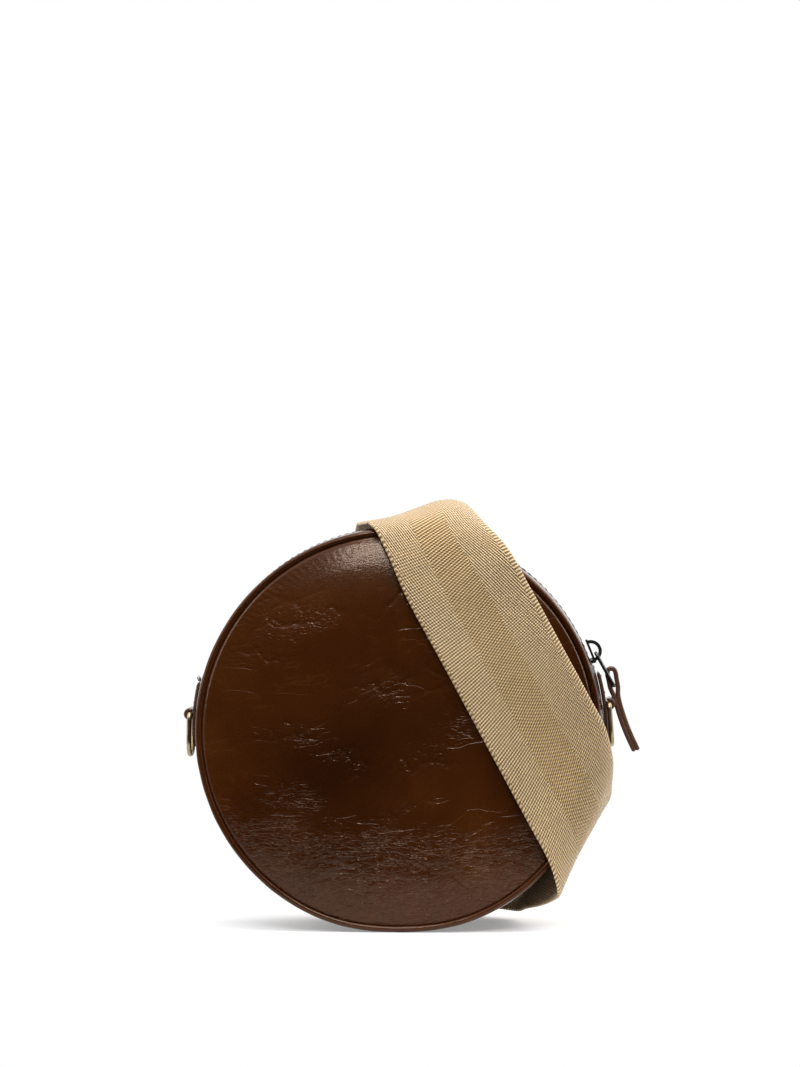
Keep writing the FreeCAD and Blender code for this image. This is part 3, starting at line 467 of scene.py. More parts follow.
# Gusset
# One strip of the leather round the bottom and two narrow ones beside the zip, with a row of stitches along
# each side of the zip. It stands out a little between the seams. The lining strip is sewn in behind it.
CREST_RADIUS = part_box("lower_gusset")[1][0]
CREST_HALF = 0.0136
GUSSET_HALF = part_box("lower_gusset")[1][1]
GUSSET_THICKNESS = 0.0016
RIGHT_JOIN = math.radians(7.0)
LEFT_JOIN = math.radians(176.0)
SEAM_GAP = 0.0001
JOIN_GAP = SEAM_GAP / BAG_RADIUS
GUSSET_CREASE = 0.00008
GUSSET_RIPPLE = 0.00010
GUSSET_RIPPLE_LENGTHS = (0.012, 0.05)
gusset_leather = creased_leather("gusset_leather", GUSSET_CREASE, HIDE_SHADES)


def strip_grid(start, end, low, high, inset, bulge, rows, columns, seed):
    """A strip along the outline between two angles and depths, raised to a crest and flat on the floor."""
    angle, depth = np.meshgrid(np.linspace(start, end, rows), np.linspace(low, high, columns), indexing="ij")
    ripple = waves(angle * BAG_RADIUS, depth, seed, 14, GUSSET_RIPPLE_LENGTHS, 0.0)
    edge = np.minimum(depth - low, high - depth) / (high - low)
    slope = np.clip((np.abs(depth) - CREST_HALF) / (GUSSET_HALF - CREST_HALF), 0, 1)
    reach = outline_radius(angle, inset + SEAM_GAP) + bulge * (1 - slope)
    reach += GUSSET_RIPPLE * np.minimum(ripple, 0.9) * np.clip(edge * 8, 0, 1)
    floor = (CENTRE_HEIGHT - inset) / np.maximum(-np.sin(angle), 0.1)
    reach = np.minimum(reach, floor)
    return np.stack([reach * np.cos(angle), depth, CENTRE_HEIGHT + reach * np.sin(angle)], axis=-1)


BULGE = CREST_RADIUS - BAG_RADIUS
ZIP_SINK = 0.0009
ZIP_BULGE = BULGE - ZIP_SINK
LOWER_GRID = (320, 60)
ZIP_GRID = (300, 28)
TAB_ZONE = 0.26
TAB_RAMP = 0.08
lower_end = 2 * math.pi + RIGHT_JOIN
lower = strip_grid(LEFT_JOIN, lower_end, -GUSSET_HALF, GUSSET_HALF, 0.0, BULGE, *LOWER_GRID, 21)
lower_gusset = thicken(skin("lower_gusset_leather", lower), GUSSET_THICKNESS)
dress(lower_gusset, gusset_leather, "bag", "brown_leather", "lower_gusset")
zip_angle = np.linspace(RIGHT_JOIN + JOIN_GAP, LEFT_JOIN - JOIN_GAP, ZIP_GRID[0])
from_join = np.minimum(zip_angle - zip_angle[0], zip_angle[-1] - zip_angle)
near_join = np.clip((TAB_ZONE - from_join) / TAB_RAMP, 0, 1)
zip_crest = (ZIP_BULGE + (BULGE - ZIP_BULGE) * near_join)[:, None]
for name, seed in (("front", 22), ("back", 23)):
    low, high = sorted(corner[1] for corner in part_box(f"zip_gusset_{name}"))
    strip = strip_grid(zip_angle[0], zip_angle[-1], low, high, 0.0, zip_crest, *ZIP_GRID, seed)
    zip_gusset = thicken(skin(f"zip_gusset_{name}_leather", strip), GUSSET_THICKNESS)
    dress(zip_gusset, gusset_leather, "bag", "brown_leather", f"zip_gusset_{name}")

THREAD_RADIUS = 0.00024
THREAD_DEPTH = 0.0001
THREAD_SIDES = 6
STITCH_STEPS = 7
STITCH_RISE_SHARE = 1.3
STITCH_SINK_SHARE = 0.9
THREAD_SHADES = [(0.3, (0.030, 0.013, 0.006)), (0.7, (0.085, 0.042, 0.020))]
waxed_thread = Finish("waxed_thread")
thread_twist = waxed_thread.noise(waxed_thread.places(), 1400.0, 2.0)
waxed_thread.surface(
    Base_Color=waxed_thread.ramp(thread_twist, THREAD_SHADES), Roughness=0.55,
    Normal=waxed_thread.bump(thread_twist, THREAD_DEPTH, 0.6),
)


def stitches(name, starts, ends, outwards):
    """A row of stitches: each a short tube that rises as a half sine between two points in the hide."""
    along = np.linspace(0, 1, STITCH_STEPS)[None, :, None]
    rise = (np.sin(np.pi * along) * STITCH_RISE_SHARE - STITCH_SINK_SHARE) * THREAD_RADIUS
    path = starts[:, None] * (1 - along) + ends[:, None] * along + rise * outwards[:, None]
    ahead = (ends - starts) / np.linalg.norm(ends - starts, axis=1, keepdims=True)
    beside = np.cross(ahead, outwards)[:, None, None]
    turn = np.linspace(0, 2 * np.pi, THREAD_SIDES, endpoint=False)[None, None, :, None]
    ring = np.cos(turn) * beside + np.sin(turn) * outwards[:, None, None]
    made = skin(name, path[:, :, None] + THREAD_RADIUS * ring, (False, True))
    return dress(made, waxed_thread.material, "bag", "brown_leather")


def on_crest(angle, radius, depth):
    """Points at an angle about the bag's middle, a radius and a depth."""
    return np.stack([radius * np.cos(angle), np.broadcast_to(depth, angle.shape),
                     CENTRE_HEIGHT + radius * np.sin(angle)], axis=-1)


ZIP_START = math.radians(17.2)
ZIP_END = math.radians(163.5)
STITCH_PITCH = 0.0034
STITCH_SHARE = 0.72
STITCH_DEPTH = 0.0072
stitch_angle = np.arange(ZIP_START, ZIP_END, STITCH_PITCH / CREST_RADIUS)
stitch_length = STITCH_SHARE * STITCH_PITCH / CREST_RADIUS
outwards = on_crest(stitch_angle, 1.0, 0.0) - [0, 0, CENTRE_HEIGHT]
for side, name in ((-1, "front"), (1, "back")):
    starts = on_crest(stitch_angle, BAG_RADIUS + ZIP_BULGE, side * STITCH_DEPTH)
    ends = on_crest(stitch_angle + stitch_length, BAG_RADIUS + ZIP_BULGE, side * STITCH_DEPTH)
    stitches(f"zip_stitches_{name}", starts, ends, outwards)

ZIP_MOUTH = 0.0132
LAYER_GAP = 0.0002
LINING_INSET = GUSSET_THICKNESS + LAYER_GAP
LINING_GRID = (200, 30)
ZIP_LINING_GRID = (160, 12)
below_end = 2 * math.pi + ZIP_START
below = strip_grid(ZIP_END, below_end, -GUSSET_HALF, GUSSET_HALF, LINING_INSET, 0.0, *LINING_GRID, 24)
gusset_lining = thicken(skin("gusset_lining_cloth", below), LINING_THICKNESS)
dress(gusset_lining, lining_cloth, "bag", "lining_cloth", "gusset_lining")
for low, high, name in ((-GUSSET_HALF, -ZIP_MOUTH, "front"), (ZIP_MOUTH, GUSSET_HALF, "back")):
    strip = strip_grid(ZIP_START, ZIP_END, low, high, LINING_INSET, 0.0, *ZIP_LINING_GRID, 25)
    zip_lining = thicken(skin(f"zip_lining_{name}_cloth", strip), LINING_THICKNESS)
    dress(zip_lining, lining_cloth, "bag", "lining_cloth")

# Zip
# Two woven tapes sewn under the narrow gusset strips. Each rises in the slot and carries a row of stamped
# metal teeth, which lock into each other over the bag's top. The slider is die-cast.
TAPE_UNDER = BAG_RADIUS + ZIP_BULGE - GUSSET_THICKNESS - LAYER_GAP
TAPE_RISE = 0.0010
TAPE_THICKNESS = 0.0006
TAPE_STEPS = 260
TAPE_THREAD = 0.0006
TAPE_SHADES = ((0.016, 0.009, 0.006), (0.060, 0.036, 0.024))
TAPE_DEPTHS = np.array([0.0130, 0.0090, 0.0052, 0.0046, 0.0036, 0.0031])
TAPE_RISE_SHARES = np.array([0.0, 0.0, 0.02, 0.25, 0.85, 1.0])
tape_cloth = woven_cloth("zip_tape_cloth", TAPE_THREAD, *TAPE_SHADES)
GUNMETAL_SHADES = [(0.35, (0.050, 0.050, 0.048)), (0.70, (0.17, 0.168, 0.16))]
GUNMETAL_RUB = 0.00005
dark_metal = Finish("dark_metal")
rub = dark_metal.noise(dark_metal.places(), 260.0, 4.0)
dark_metal.surface(
    Base_Color=dark_metal.ramp(rub, GUNMETAL_SHADES), Metallic=1.0, Roughness=0.22 + rub * 0.18,
    Normal=dark_metal.bump(rub, GUNMETAL_RUB, 0.4),
)
for side, name in ((-1, "front"), (1, "back")):
    angle = np.linspace(ZIP_START, ZIP_END, TAPE_STEPS)[:, None] + 0 * TAPE_DEPTHS
    grid = on_crest(angle, TAPE_UNDER + TAPE_RISE * TAPE_RISE_SHARES, side * TAPE_DEPTHS)
    tape = thicken(skin(f"zip_tape_{name}_cloth", grid[::side]), TAPE_THICKNESS)
    dress(tape, tape_cloth, "bag", "zip_tape_cloth", f"zip_tape_{name}")


def finish_nodes(material, *names):
    """Give CAD nodes that keep their shape a finish."""
    for name in names:
        nodes[name].data.materials.clear()
        nodes[name].data.materials.append(material)


finish_nodes(dark_metal.material, "zip_stops", "zip_slider")
CHAIN_SHADES = [(0.35, (0.012, 0.010, 0.009)), (0.70, (0.040, 0.036, 0.032))]
chain_metal = Finish("chain_metal")
soot = chain_metal.noise(chain_metal.places(), 400.0, 3.0)
chain_metal.surface(
    Base_Color=chain_metal.ramp(soot, CHAIN_SHADES), Metallic=0.35, Roughness=0.50 + soot * 0.12, IOR=1.3,
)
CHAIN_STEPS = 1400
TOOTH_PITCH = 0.0017
TOOTH_LOW = TAPE_UNDER + TAPE_RISE - LAYER_GAP
TOOTH_HEIGHT = 0.0011
TOOTH_EDGE = 1.8
TOOTH_DEPTHS = np.array([-0.0027, -0.0026, -0.0025, -0.0012, 0.0004, 0.0008, 0.0009])
TOOTH_LEVEL_SHARES = np.array([0.0, 0.55, 0.9, 1.0, 1.0, 0.8, 0.0])
for side, name, shift in ((-1, "front", 0.0), (1, "back", np.pi)):
    angle = np.linspace(ZIP_START, ZIP_END, CHAIN_STEPS)[:, None] + 0 * TOOTH_DEPTHS
    tooth = np.sin(angle * CREST_RADIUS * 2 * np.pi / TOOTH_PITCH + shift)
    bar = np.clip(0.5 + TOOTH_EDGE * tooth, 0, 1)
    grid = on_crest(angle, TOOTH_LOW + TOOTH_HEIGHT * bar * TOOTH_LEVEL_SHARES, -side * TOOTH_DEPTHS)
    row = skin(f"zip_chain_{name}", grid[::-side])
    dress(row, chain_metal.material, "bag", "dark_metal", f"zip_teeth_{name}")

# Zip pull
# A bent wire link hooked under the slider's bridge, and a strip of leather folded over the link's lower bar
# and glued to itself, so that its two layers show at the edge.
PULL_PIVOT = np.array([0.0880415, 0.0, 0.1226295])
PULL_ANGLE = math.radians(29.0)
LINK_WIRE = 0.0008
LINK_HALF = 0.0042
LINK_LENGTH = 0.0165
LINK_CORNER = 0.0012


def rounded_loop(half, low, high_radius, low_radius, steps=9):
    """A closed path round a rectangle below its bar, with quarter-circle corners: places across and down."""
    turn = np.linspace(0, np.pi / 2, steps)
    corners = []
    high_pair = [(half, 0.0, high_radius), (-half, 0.0, high_radius)]
    low_pair = [(-half, low, low_radius), (half, low, low_radius)]
    for i, (across, down, radius) in enumerate(high_pair + low_pair):
        hub = np.array([across - math.copysign(radius, across), down + (radius if i > 1 else -radius)])
        spin = turn + i * np.pi / 2
        corners.append(hub + radius * np.stack([np.cos(spin), np.sin(spin)], axis=-1))
    return np.concatenate(corners)


def swung(path, pivot, angle):
    """A flat path in the Y-Z plane, swung outwards about a pivot on the Y axis, and the plane's normal."""
    down = np.array([-math.sin(angle), 0.0, math.cos(angle)])
    lift = (math.cos(angle), 0.0, math.sin(angle))
    return pivot + path[:, :1] * [0.0, 1.0, 0.0] + path[:, 1:] * down, lift


link_loop = rounded_loop(LINK_HALF, -LINK_LENGTH, LINK_CORNER, LINK_CORNER)
link_path, link_lift = swung(link_loop, PULL_PIVOT, PULL_ANGLE)
link = skin("pull_link_wire", tube(link_path, LINK_WIRE, link_lift, 14), (True, True), outward=True)
dress(link, dark_metal.material, "pull_link", "dark_metal", "zip_pull_link")


def smooth_line(points, distances, where):
    """A curve through points: cubic pieces whose slopes are those of each point's two neighbours."""
    slope = np.gradient(points, distances, axis=0)
    cell = np.clip(np.searchsorted(distances, where, side="right") - 1, 0, len(distances) - 2)
    span = (distances[cell + 1] - distances[cell])[:, None]
    share = ((where - distances[cell])[:, None]) / span
    flat = points.reshape(len(points), -1)
    tilt = slope.reshape(len(points), -1)
    start = (1 + 2 * share) * (1 - share) ** 2 * flat[cell] + share * (1 - share) ** 2 * span * tilt[cell]
    end = share ** 2 * (3 - 2 * share) * flat[cell + 1] + share ** 2 * (share - 1) * span * tilt[cell + 1]
    return (start + end).reshape(-1, *points.shape[1:])


def strip_section(pairs, thickness, step, columns, bow=0.0, roundness=40, tip=1.0):
    """A strip's rounded section between two smoothed edges, bowed between them, and its flat places."""
    middle = pairs.mean(1)
    distances = np.concatenate([[0], np.cumsum(np.linalg.norm(np.diff(middle, axis=0), axis=1))])
    where = np.linspace(0, distances[-1], int(distances[-1] / step))
    edges = smooth_line(pairs, distances, where)
    ahead = np.gradient(edges.mean(1), axis=0)
    normal = np.cross(ahead, edges[:, 1] - edges[:, 0])
    normal /= np.linalg.norm(normal, axis=1, keepdims=True)
    share = (1 - np.cos(np.linspace(0, 2 * np.pi, 2 * columns, endpoint=False))) / 2
    face = np.where(np.arange(2 * columns) < columns, 1.0, -1.0)
    half = thickness / 2 * np.sqrt(np.clip(1 - np.abs(2 * share - 1) ** roundness, 0, 1)) * face
    skew = share ** 3 * (1 - share) * 256 / 27
    pinch = np.clip(np.minimum(where, where[-1] - where) / (tip * thickness), 0, 1)
    swell = np.interp(where, distances, np.broadcast_to(bow, len(pairs)))[:, None] * skew
    spread = edges[:, 0, None] + share[None, :, None] * (edges[:, 1] - edges[:, 0])[:, None]
    grid = spread + (half[None, :] * np.sqrt(pinch)[:, None] + swell)[..., None] * normal[:, None]
    width = np.linalg.norm(pairs[:, 1] - pairs[:, 0], axis=1).mean()
    place = np.stack(np.broadcast_arrays(share[None, :] * width, where[:, None]), axis=-1)
    return grid, place, where[-1]


TAB_ANGLES = np.radians([11.0, 27.0])
PULL_LEATHER = 0.0021
PULL_LENGTH = 0.0310
PULL_HALF_WIDTH = 0.0030
PULL_STEP = 0.0004
PULL_COLUMNS = 14
PULL_CREASE = 0.0001
# Paler and greyer than the hide: a painted sheen for the pull and the ring tabs.
PULL_SHADES_WITH_PAINTED_SHEEN = ((0.045, 0.019, 0.012), (0.080, 0.038, 0.026), (0.110, 0.056, 0.040))
LOOP_TOP = 0.006
LOOP_HALF = 0.0018
LAYER_HALF = 0.00085
TIP_RUN = 0.0015
TIP_NARROW_SHARE = 0.3
link_foot = PULL_PIVOT + LINK_LENGTH * np.array([math.sin(PULL_ANGLE), 0.0, -math.cos(PULL_ANGLE)])
fold_down = np.array([PULL_LENGTH, 0.022, 0.014, 0.0075, 0.0044, 0.0010, -0.003, -LOOP_TOP])
fold_out = np.array([LAYER_HALF, LAYER_HALF, LAYER_HALF, LAYER_HALF, 0.0010, 0.0017, LOOP_HALF, LOOP_HALF])
cap = np.radians([35, 65, 90, 115, 145])
fold_down = np.concatenate([fold_down, -LOOP_TOP - LOOP_HALF * np.sin(cap), fold_down[::-1]])
fold_out = np.concatenate([fold_out, LOOP_HALF * np.cos(cap), -fold_out[::-1]])
lean = TAB_ANGLES[0] + (TAB_ANGLES[1] - TAB_ANGLES[0]) * np.clip(fold_down / PULL_LENGTH, 0, 1) / 2
fold_x = link_foot[0] + fold_down * np.sin(lean) + fold_out * np.cos(lean)
fold_z = link_foot[2] - fold_down * np.cos(lean) + fold_out * np.sin(lean)
at_tip = np.clip((fold_down - PULL_LENGTH + TIP_RUN) / TIP_RUN, 0, 1)
fold_half = PULL_HALF_WIDTH * (1 - TIP_NARROW_SHARE * at_tip ** 2)
fold_edges = [np.stack([fold_x, sign * fold_half, fold_z], axis=-1) for sign in (-1, 1)]
fold_pairs = np.stack(fold_edges, axis=1)
pull_grid, _, _ = strip_section(fold_pairs, PULL_LEATHER, PULL_STEP, PULL_COLUMNS, roundness=12, tip=0.3)
pull_leather = creased_leather("pull_leather", PULL_CREASE, PULL_SHADES_WITH_PAINTED_SHEEN)
pull = skin("pull_strip", pull_grid, (False, True), outward=True)
pull.data.materials.append(pull_leather)
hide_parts("zip_pull_tab")
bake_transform(pull)

# Ring tabs
# A thick strip of leather sewn across each end of the zip, with a smaller loop that holds the ring's bar.
# Four rows of stitches hold each strip, and loose fibres stand out at the left one's upper end.
TAB_LEATHER = 0.0016
TAB_HALF_WIDTH = 0.0090
TAB_HALF_ANGLE = math.radians(9.2)
TAB_TOP = CREST_RADIUS + LAYER_GAP + TAB_LEATHER
TAB_MIDDLE = TAB_TOP - TAB_LEATHER / 2
TAB_STEP = 0.0006
TAB_COLUMNS = 22
TAB_POINTS = 24
LOOP_POINTS = 20
LOOP_STEP = 0.0003
LOOP_SPAN = math.radians(118)
TAB_STITCH = 0.0019
TAB_STITCH_PITCH = 0.0026
TAB_STITCH_MARGINS = (0.0014, 0.0024)
TAB_STITCH_ROWS = {"upper": 0.055, "lower": -0.055, "top": 0.135, "foot": -0.135}
LOOP_RADIUS = 0.00198
BAR_REACH = 0.09448
RING_LEANS = {"left": (LEFT_JOIN, math.radians(-1.0)), "right": (RIGHT_JOIN, math.radians(4.0))}


def across_bag(x, z, half):
    """Pairs of edge points of a strip that lies across the gusset, each side of its middle."""
    sides = [np.stack([x, np.full(len(x), sign * half), z], axis=-1) for sign in (-1, 1)]
    return np.stack(sides, axis=1)


for name, (join, _) in RING_LEANS.items():
    angle = np.linspace(join + TAB_HALF_ANGLE, join - TAB_HALF_ANGLE, TAB_POINTS)
    middle = on_crest(angle, TAB_MIDDLE, 0.0)
    edges = across_bag(middle[:, 0], middle[:, 2], TAB_HALF_WIDTH)
    grid, _, _ = strip_section(edges, TAB_LEATHER, TAB_STEP, TAB_COLUMNS)
    strip = skin(f"{name}_tab_strip", grid, (False, True), outward=True)
    dress(strip, pull_leather, "bag", "brown_leather", f"{name}_ring_tab")
    bar = on_crest(np.array([join]), BAR_REACH, 0.0)[0]
    spin = join + np.linspace(LOOP_SPAN, -LOOP_SPAN, LOOP_POINTS)
    loop_x = bar[0] + LOOP_RADIUS * np.cos(spin)
    loop_z = bar[2] + LOOP_RADIUS * np.sin(spin)
    edges = across_bag(loop_x, loop_z, TAB_HALF_WIDTH)
    grid, _, _ = strip_section(edges, TAB_LEATHER, LOOP_STEP, TAB_COLUMNS)
    dress(skin(f"{name}_tab_loop", grid, (False, True), outward=True), pull_leather, "bag", "brown_leather")
    first, last = TAB_STITCH_MARGINS
    depth = np.arange(-TAB_HALF_WIDTH + first, TAB_HALF_WIDTH - last, TAB_STITCH_PITCH)
    for row, offset in TAB_STITCH_ROWS.items():
        angle = np.full(len(depth), join + offset)
        start = on_crest(angle, TAB_TOP, depth)
        outwards = on_crest(angle, 1.0, 0.0) - [0, 0, CENTRE_HEIGHT]
        stitches(f"{name}_tab_stitches_{row}", start, start + [0, TAB_STITCH, 0], outwards)

FRAY_COUNT = 9
FRAY_HALF = 0.006
FRAY_SPREAD = 0.0006
FRAY_REACH = (-0.0009, 0.0, 0.0012)
FRAY_BEND = (-0.8, 0.0, -0.6)
FRAY_LIFT = 0.0010
FRAY_RADIUS = CREST_RADIUS + FRAY_LIFT
draw = np.random.default_rng(3)
fray_angle = np.full(FRAY_COUNT, LEFT_JOIN - TAB_HALF_ANGLE)
fray_foot = on_crest(fray_angle, FRAY_RADIUS, draw.uniform(-FRAY_HALF, FRAY_HALF, FRAY_COUNT))
fray_tip = fray_foot + draw.normal(0, FRAY_SPREAD, (FRAY_COUNT, 3)) + FRAY_REACH
stitches("left_tab_fray", fray_foot, fray_tip, np.tile(FRAY_BEND, (FRAY_COUNT, 1)))

# D-rings
# Bent round wire with an aged, pale brass plating. A straight bar sits in the leather loop, with a wide
# bow below it.
BRASS_SHADES = [(0.35, (0.26, 0.19, 0.095)), (0.65, (0.56, 0.46, 0.28))]
BRASS_RUB = 0.00004
old_brass = Finish("old_brass")
tarnish = old_brass.noise(old_brass.places(), 140.0, 4.0, 0.3)
old_brass.surface(
    Base_Color=old_brass.ramp(tarnish, BRASS_SHADES), Metallic=1.0, Roughness=0.20 + tarnish * 0.22,
    Normal=old_brass.bump(tarnish, BRASS_RUB, 0.4),
)
RING_WIRE = 0.0011
RING_HALF = 0.0111
RING_DROP = 0.0184
RING_CORNER = 0.0020
RING_BOW = 0.0090
for name, (join, lean) in RING_LEANS.items():
    bar = on_crest(np.array([join]), BAR_REACH, 0.0)[0]
    path, lift = swung(rounded_loop(RING_HALF, -RING_DROP, RING_CORNER, RING_BOW, 14), bar, lean)
    ring = skin(f"{name}_ring_wire", tube(path, RING_WIRE, lift, 16), (True, True), outward=True)
    dress(ring, old_brass.material, f"{name}_ring", "old_brass", f"{name}_d_ring")

# Strap
# One length of heavy golden webbing, with slanted ribs in its outer bands, a crossed weave between them and
# corded edges. It hangs behind the bag, goes over the top, crosses the front and turns back below.
WEB_THICKNESS = 0.0018
WEB_WIDTH = 0.050
WEB_STEP = 0.0009
WEB_COLUMNS = 26
EYE_ROD = 0.0022
STRAP_REACH = 0.0390
HANG_LEFT = -0.0240
HANG_DEPTH = 0.0455
HANG_RISE = 0.0764
HANG_TOP = CENTRE_HEIGHT + HANG_RISE
hang_low, hang_high = (np.array(corner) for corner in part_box("hanging_hook_eye"))
HANG_EYE = ((hang_low[1] + hang_high[1]) / 2, hang_high[2] - EYE_ROD)
floor_low, floor_high = (np.array(corner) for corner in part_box("floor_hook_eye"))
FLOOR_EYE = (floor_high[0] - EYE_ROD, (floor_low[1] + floor_high[1]) / 2)
EYE_FOLD = 0.0033
FOLD_POINTS = 9
FLOOR_FOLD_ANGLES = (-73, -287)
HANG_LAP = np.array([0.0089, 0.0039])
HANG_STEPS = np.array([0.0104, 0.0224, 0.0344])
FLOOR_LAP = np.array([0.0040])
FLOOR_STEPS = np.array([0.0022, 0.0120, 0.0262])
LAP_GAP = 0.0020
FLOOR_DEPTH = 0.0457
FLOOR_EDGE = (floor_low[2] + floor_high[2]) / 2 - WEB_WIDTH / 2
EDGE_SHARES = np.array([
    [(-0.256, 1.125, 0.935), (0.290, 1.155, 0.975)],
    [(-0.240, 0.850, 1.005), (0.300, 0.949, 1.060)],
    [(-0.210, 0.205, 1.018), (0.330, 0.462, 1.098)],
    [(-0.172, -0.256, 1.022), (0.354, 0.051, 1.098)],
    [(-0.140, -0.756, 1.018), (0.374, -0.385, 1.080)],
    [(-0.105, -0.923, 0.985), (0.398, -0.600, 1.056)],
    [(-0.056, -0.987, 0.889), (0.426, -0.769, 1.026)],
    [(0.031, -1.0, 0.690), (0.520, -0.962, 0.930)],
    [(0.215, -1.0, 0.348), (0.662, -1.0, 0.690)],
    [(0.426, -1.0, -0.043), (0.810, -1.0, 0.417)],
    [(0.637, -1.0, -0.434), (0.942, -0.987, 0.172)],
    [(0.745, -0.962, -0.640), (1.020, -0.930, 0.020)],
    [(0.786, -0.800, -0.790), (1.050, -0.760, -0.115)],
    [(0.765, -0.460, -0.838), (1.050, -0.470, -0.245)],
    [(0.702, -0.070, -0.882), (1.042, -0.080, -0.345)],
    [(0.625, 0.340, -0.917), (0.965, 0.390, -0.445)],
    [(0.586, 0.630, -0.942), (0.932, 0.730, -0.478)],
    [(0.490, 0.910, -0.944), (0.850, 1.020, -0.492)],
    [(0.280, 1.120, -0.940), (0.585, 1.200, -0.430)],
    [(0.150, 1.170, -0.930), (0.320, 1.190, -0.385)],
])
DRAPE_BOW = np.array([
    0, 0.0020, 0.0040, 0.0050, 0.0046, 0.0036, 0.0022, 0.0008, 0, 0,
    0, 0.0012, 0.0020, 0.0012, 0, 0, 0, 0, 0, 0,
])
draped = EDGE_SHARES * [BAG_RADIUS, STRAP_REACH, BAG_RADIUS] + [0, 0, CENTRE_HEIGHT]


def hanging(depths, heights):
    """Pairs of edge points of a stretch that hangs straight behind the bag."""
    depths, heights = np.broadcast_arrays(depths, heights)
    left = np.stack([np.full(len(depths), HANG_LEFT), depths, heights], axis=-1)
    return np.stack([left, left + [WEB_WIDTH, 0, 0]], axis=1)


def on_edge(rights, depths):
    """Pairs of edge points of a stretch that stands on its edge behind the bag."""
    rights, depths = np.broadcast_arrays(rights, depths)
    low = np.stack([rights, depths, np.full(len(rights), FLOOR_EDGE)], axis=-1)
    return np.stack([low, low + [0, 0, WEB_WIDTH]], axis=1)


def arc(centre, radius, start, end, count):
    """Points on a circle between two angles in degrees."""
    turn = np.radians(np.linspace(start, end, count))
    return centre[0] + radius * np.cos(turn), centre[1] + radius * np.sin(turn)


BAND_EDGE = (0.0080, 0.0086)
CORD_EDGE = (0.0234, 0.0240)
CORD_PITCH = 0.0019
PICK_PITCH = 0.00115
RIB_PITCH = 0.00108
RIB_LEAN = math.radians(15)
CROSS_PITCH = 0.00125
TWILL_PITCH = 0.0016
RIBS_AND_SHADE_FROM = (0.115, 0.165)
WEB_RELIEF = 0.00045
# Each ramp runs from painted shade in the weave's gaps to the yarn's own colour.
PALE_YARN_AND_GAP_SHADE = [(0.10, (0.120, 0.066, 0.022)), (0.46, (0.39, 0.252, 0.108)), (0.88, (0.78, 0.58, 0.320))]
GOLDEN_YARN_AND_GAP_SHADE = [(0.10, (0.110, 0.058, 0.018)), (0.46, (0.37, 0.228, 0.086)), (0.88, (0.74, 0.52, 0.250))]


def ribbed_webbing(name):
    """Sines of the strip's own places: slanted in outer bands, crossed between them, corded at the edges; the
    colour follows the relief, with painted shade in the gaps, deeper high on the strap.
    """
    finish = Finish(name)
    place = finish.node("ShaderNodeUVMap", {"uv_map": "pattern"})
    across, along, _ = place.axes()
    off_middle = abs(across - WEB_WIDTH / 2)
    outer = off_middle.step(*BAND_EDGE)
    corded = off_middle.step(*CORD_EDGE)
    picks = along.wave(PICK_PITCH)
    slanted = (across * math.cos(RIB_LEAN) - along * math.sin(RIB_LEAN)).wave(RIB_PITCH)
    crossed = (along + across * 0.25).wave(CROSS_PITCH) * 0.85 + (across - along).wave(TWILL_PITCH) * 0.35
    # High on the strap the outer bands' ribs stand out more, and so does the painted shade in their gaps, as
    # light rakes them from above.
    _, _, level = finish.places().axes()
    patchy = finish.noise(finish.places(), 60.0, 2.0).step(0.40, 0.60)
    upper = level.step(*RIBS_AND_SHADE_FROM) * (1.0 - patchy * 0.4)
    ribs = slanted * (0.30 + upper * 0.65) + picks * (0.80 - upper * 0.60)
    body = crossed + (ribs - crossed) * outer
    height = body + (along.wave(CORD_PITCH) * 0.75 - body) * corded
    stretched = finish.node("ShaderNodeMapping", {}, {"Vector": place, "Scale": (260.0, 60.0, 1.0)})
    yarn = finish.noise(stretched, 9.0, 3.0)
    scuffs = finish.noise(finish.places(), 26.0, 3.0)
    # The colour follows the relief: lighter ribs and painted shade in the gaps.
    tone = height * 0.43 + yarn * 0.32 + scuffs * 0.18 + 0.215
    golden = finish.ramp(tone, GOLDEN_YARN_AND_GAP_SHADE)
    pale = finish.ramp(tone, PALE_YARN_AND_GAP_SHADE)
    colour = finish.node("ShaderNodeMix", {"data_type": "RGBA"}, {"Factor": outer, 6: golden, 7: pale}, 2)
    return finish.surface(
        Base_Color=colour, Roughness=0.44 - height * 0.06, Sheen_Weight=0.15, Sheen_Roughness=0.4,
        Normal=finish.bump(height * 0.7 + yarn * 0.4, WEB_RELIEF, 0.8),
    )


webbing = ribbed_webbing("ribbed_webbing")
fold_depths, fold_heights = arc(HANG_EYE, EYE_FOLD, 0, -180, FOLD_POINTS)
floor_x, floor_depths = arc(FLOOR_EYE, EYE_FOLD, *FLOOR_FOLD_ANGLES, FOLD_POINTS)
before = np.concatenate([
    hanging(HANG_EYE[0] + EYE_FOLD, HANG_EYE[1] + HANG_LAP),
    hanging(fold_depths, fold_heights),
    hanging(HANG_DEPTH, np.append(HANG_EYE[1] + HANG_STEPS, HANG_TOP)),
])
after = np.concatenate([
    on_edge(FLOOR_LAP, FLOOR_DEPTH),
    on_edge(floor_x, floor_depths),
    on_edge(FLOOR_STEPS, FLOOR_DEPTH + LAP_GAP),
])
strap_pairs = np.concatenate([before, draped, after])
strap_bow = np.concatenate([np.zeros(len(before)), DRAPE_BOW, np.zeros(len(after))])
WEB_SECTION = (WEB_THICKNESS, WEB_STEP, WEB_COLUMNS)
strap_grid, strap_place, STRAP_LENGTH = strip_section(strap_pairs, *WEB_SECTION, strap_bow)
strap = skin("strap_webbing_cloth", strap_grid, (False, True), strap_place, outward=True)
dress(strap, webbing, "bag", "tan_webbing", "strap_webbing")
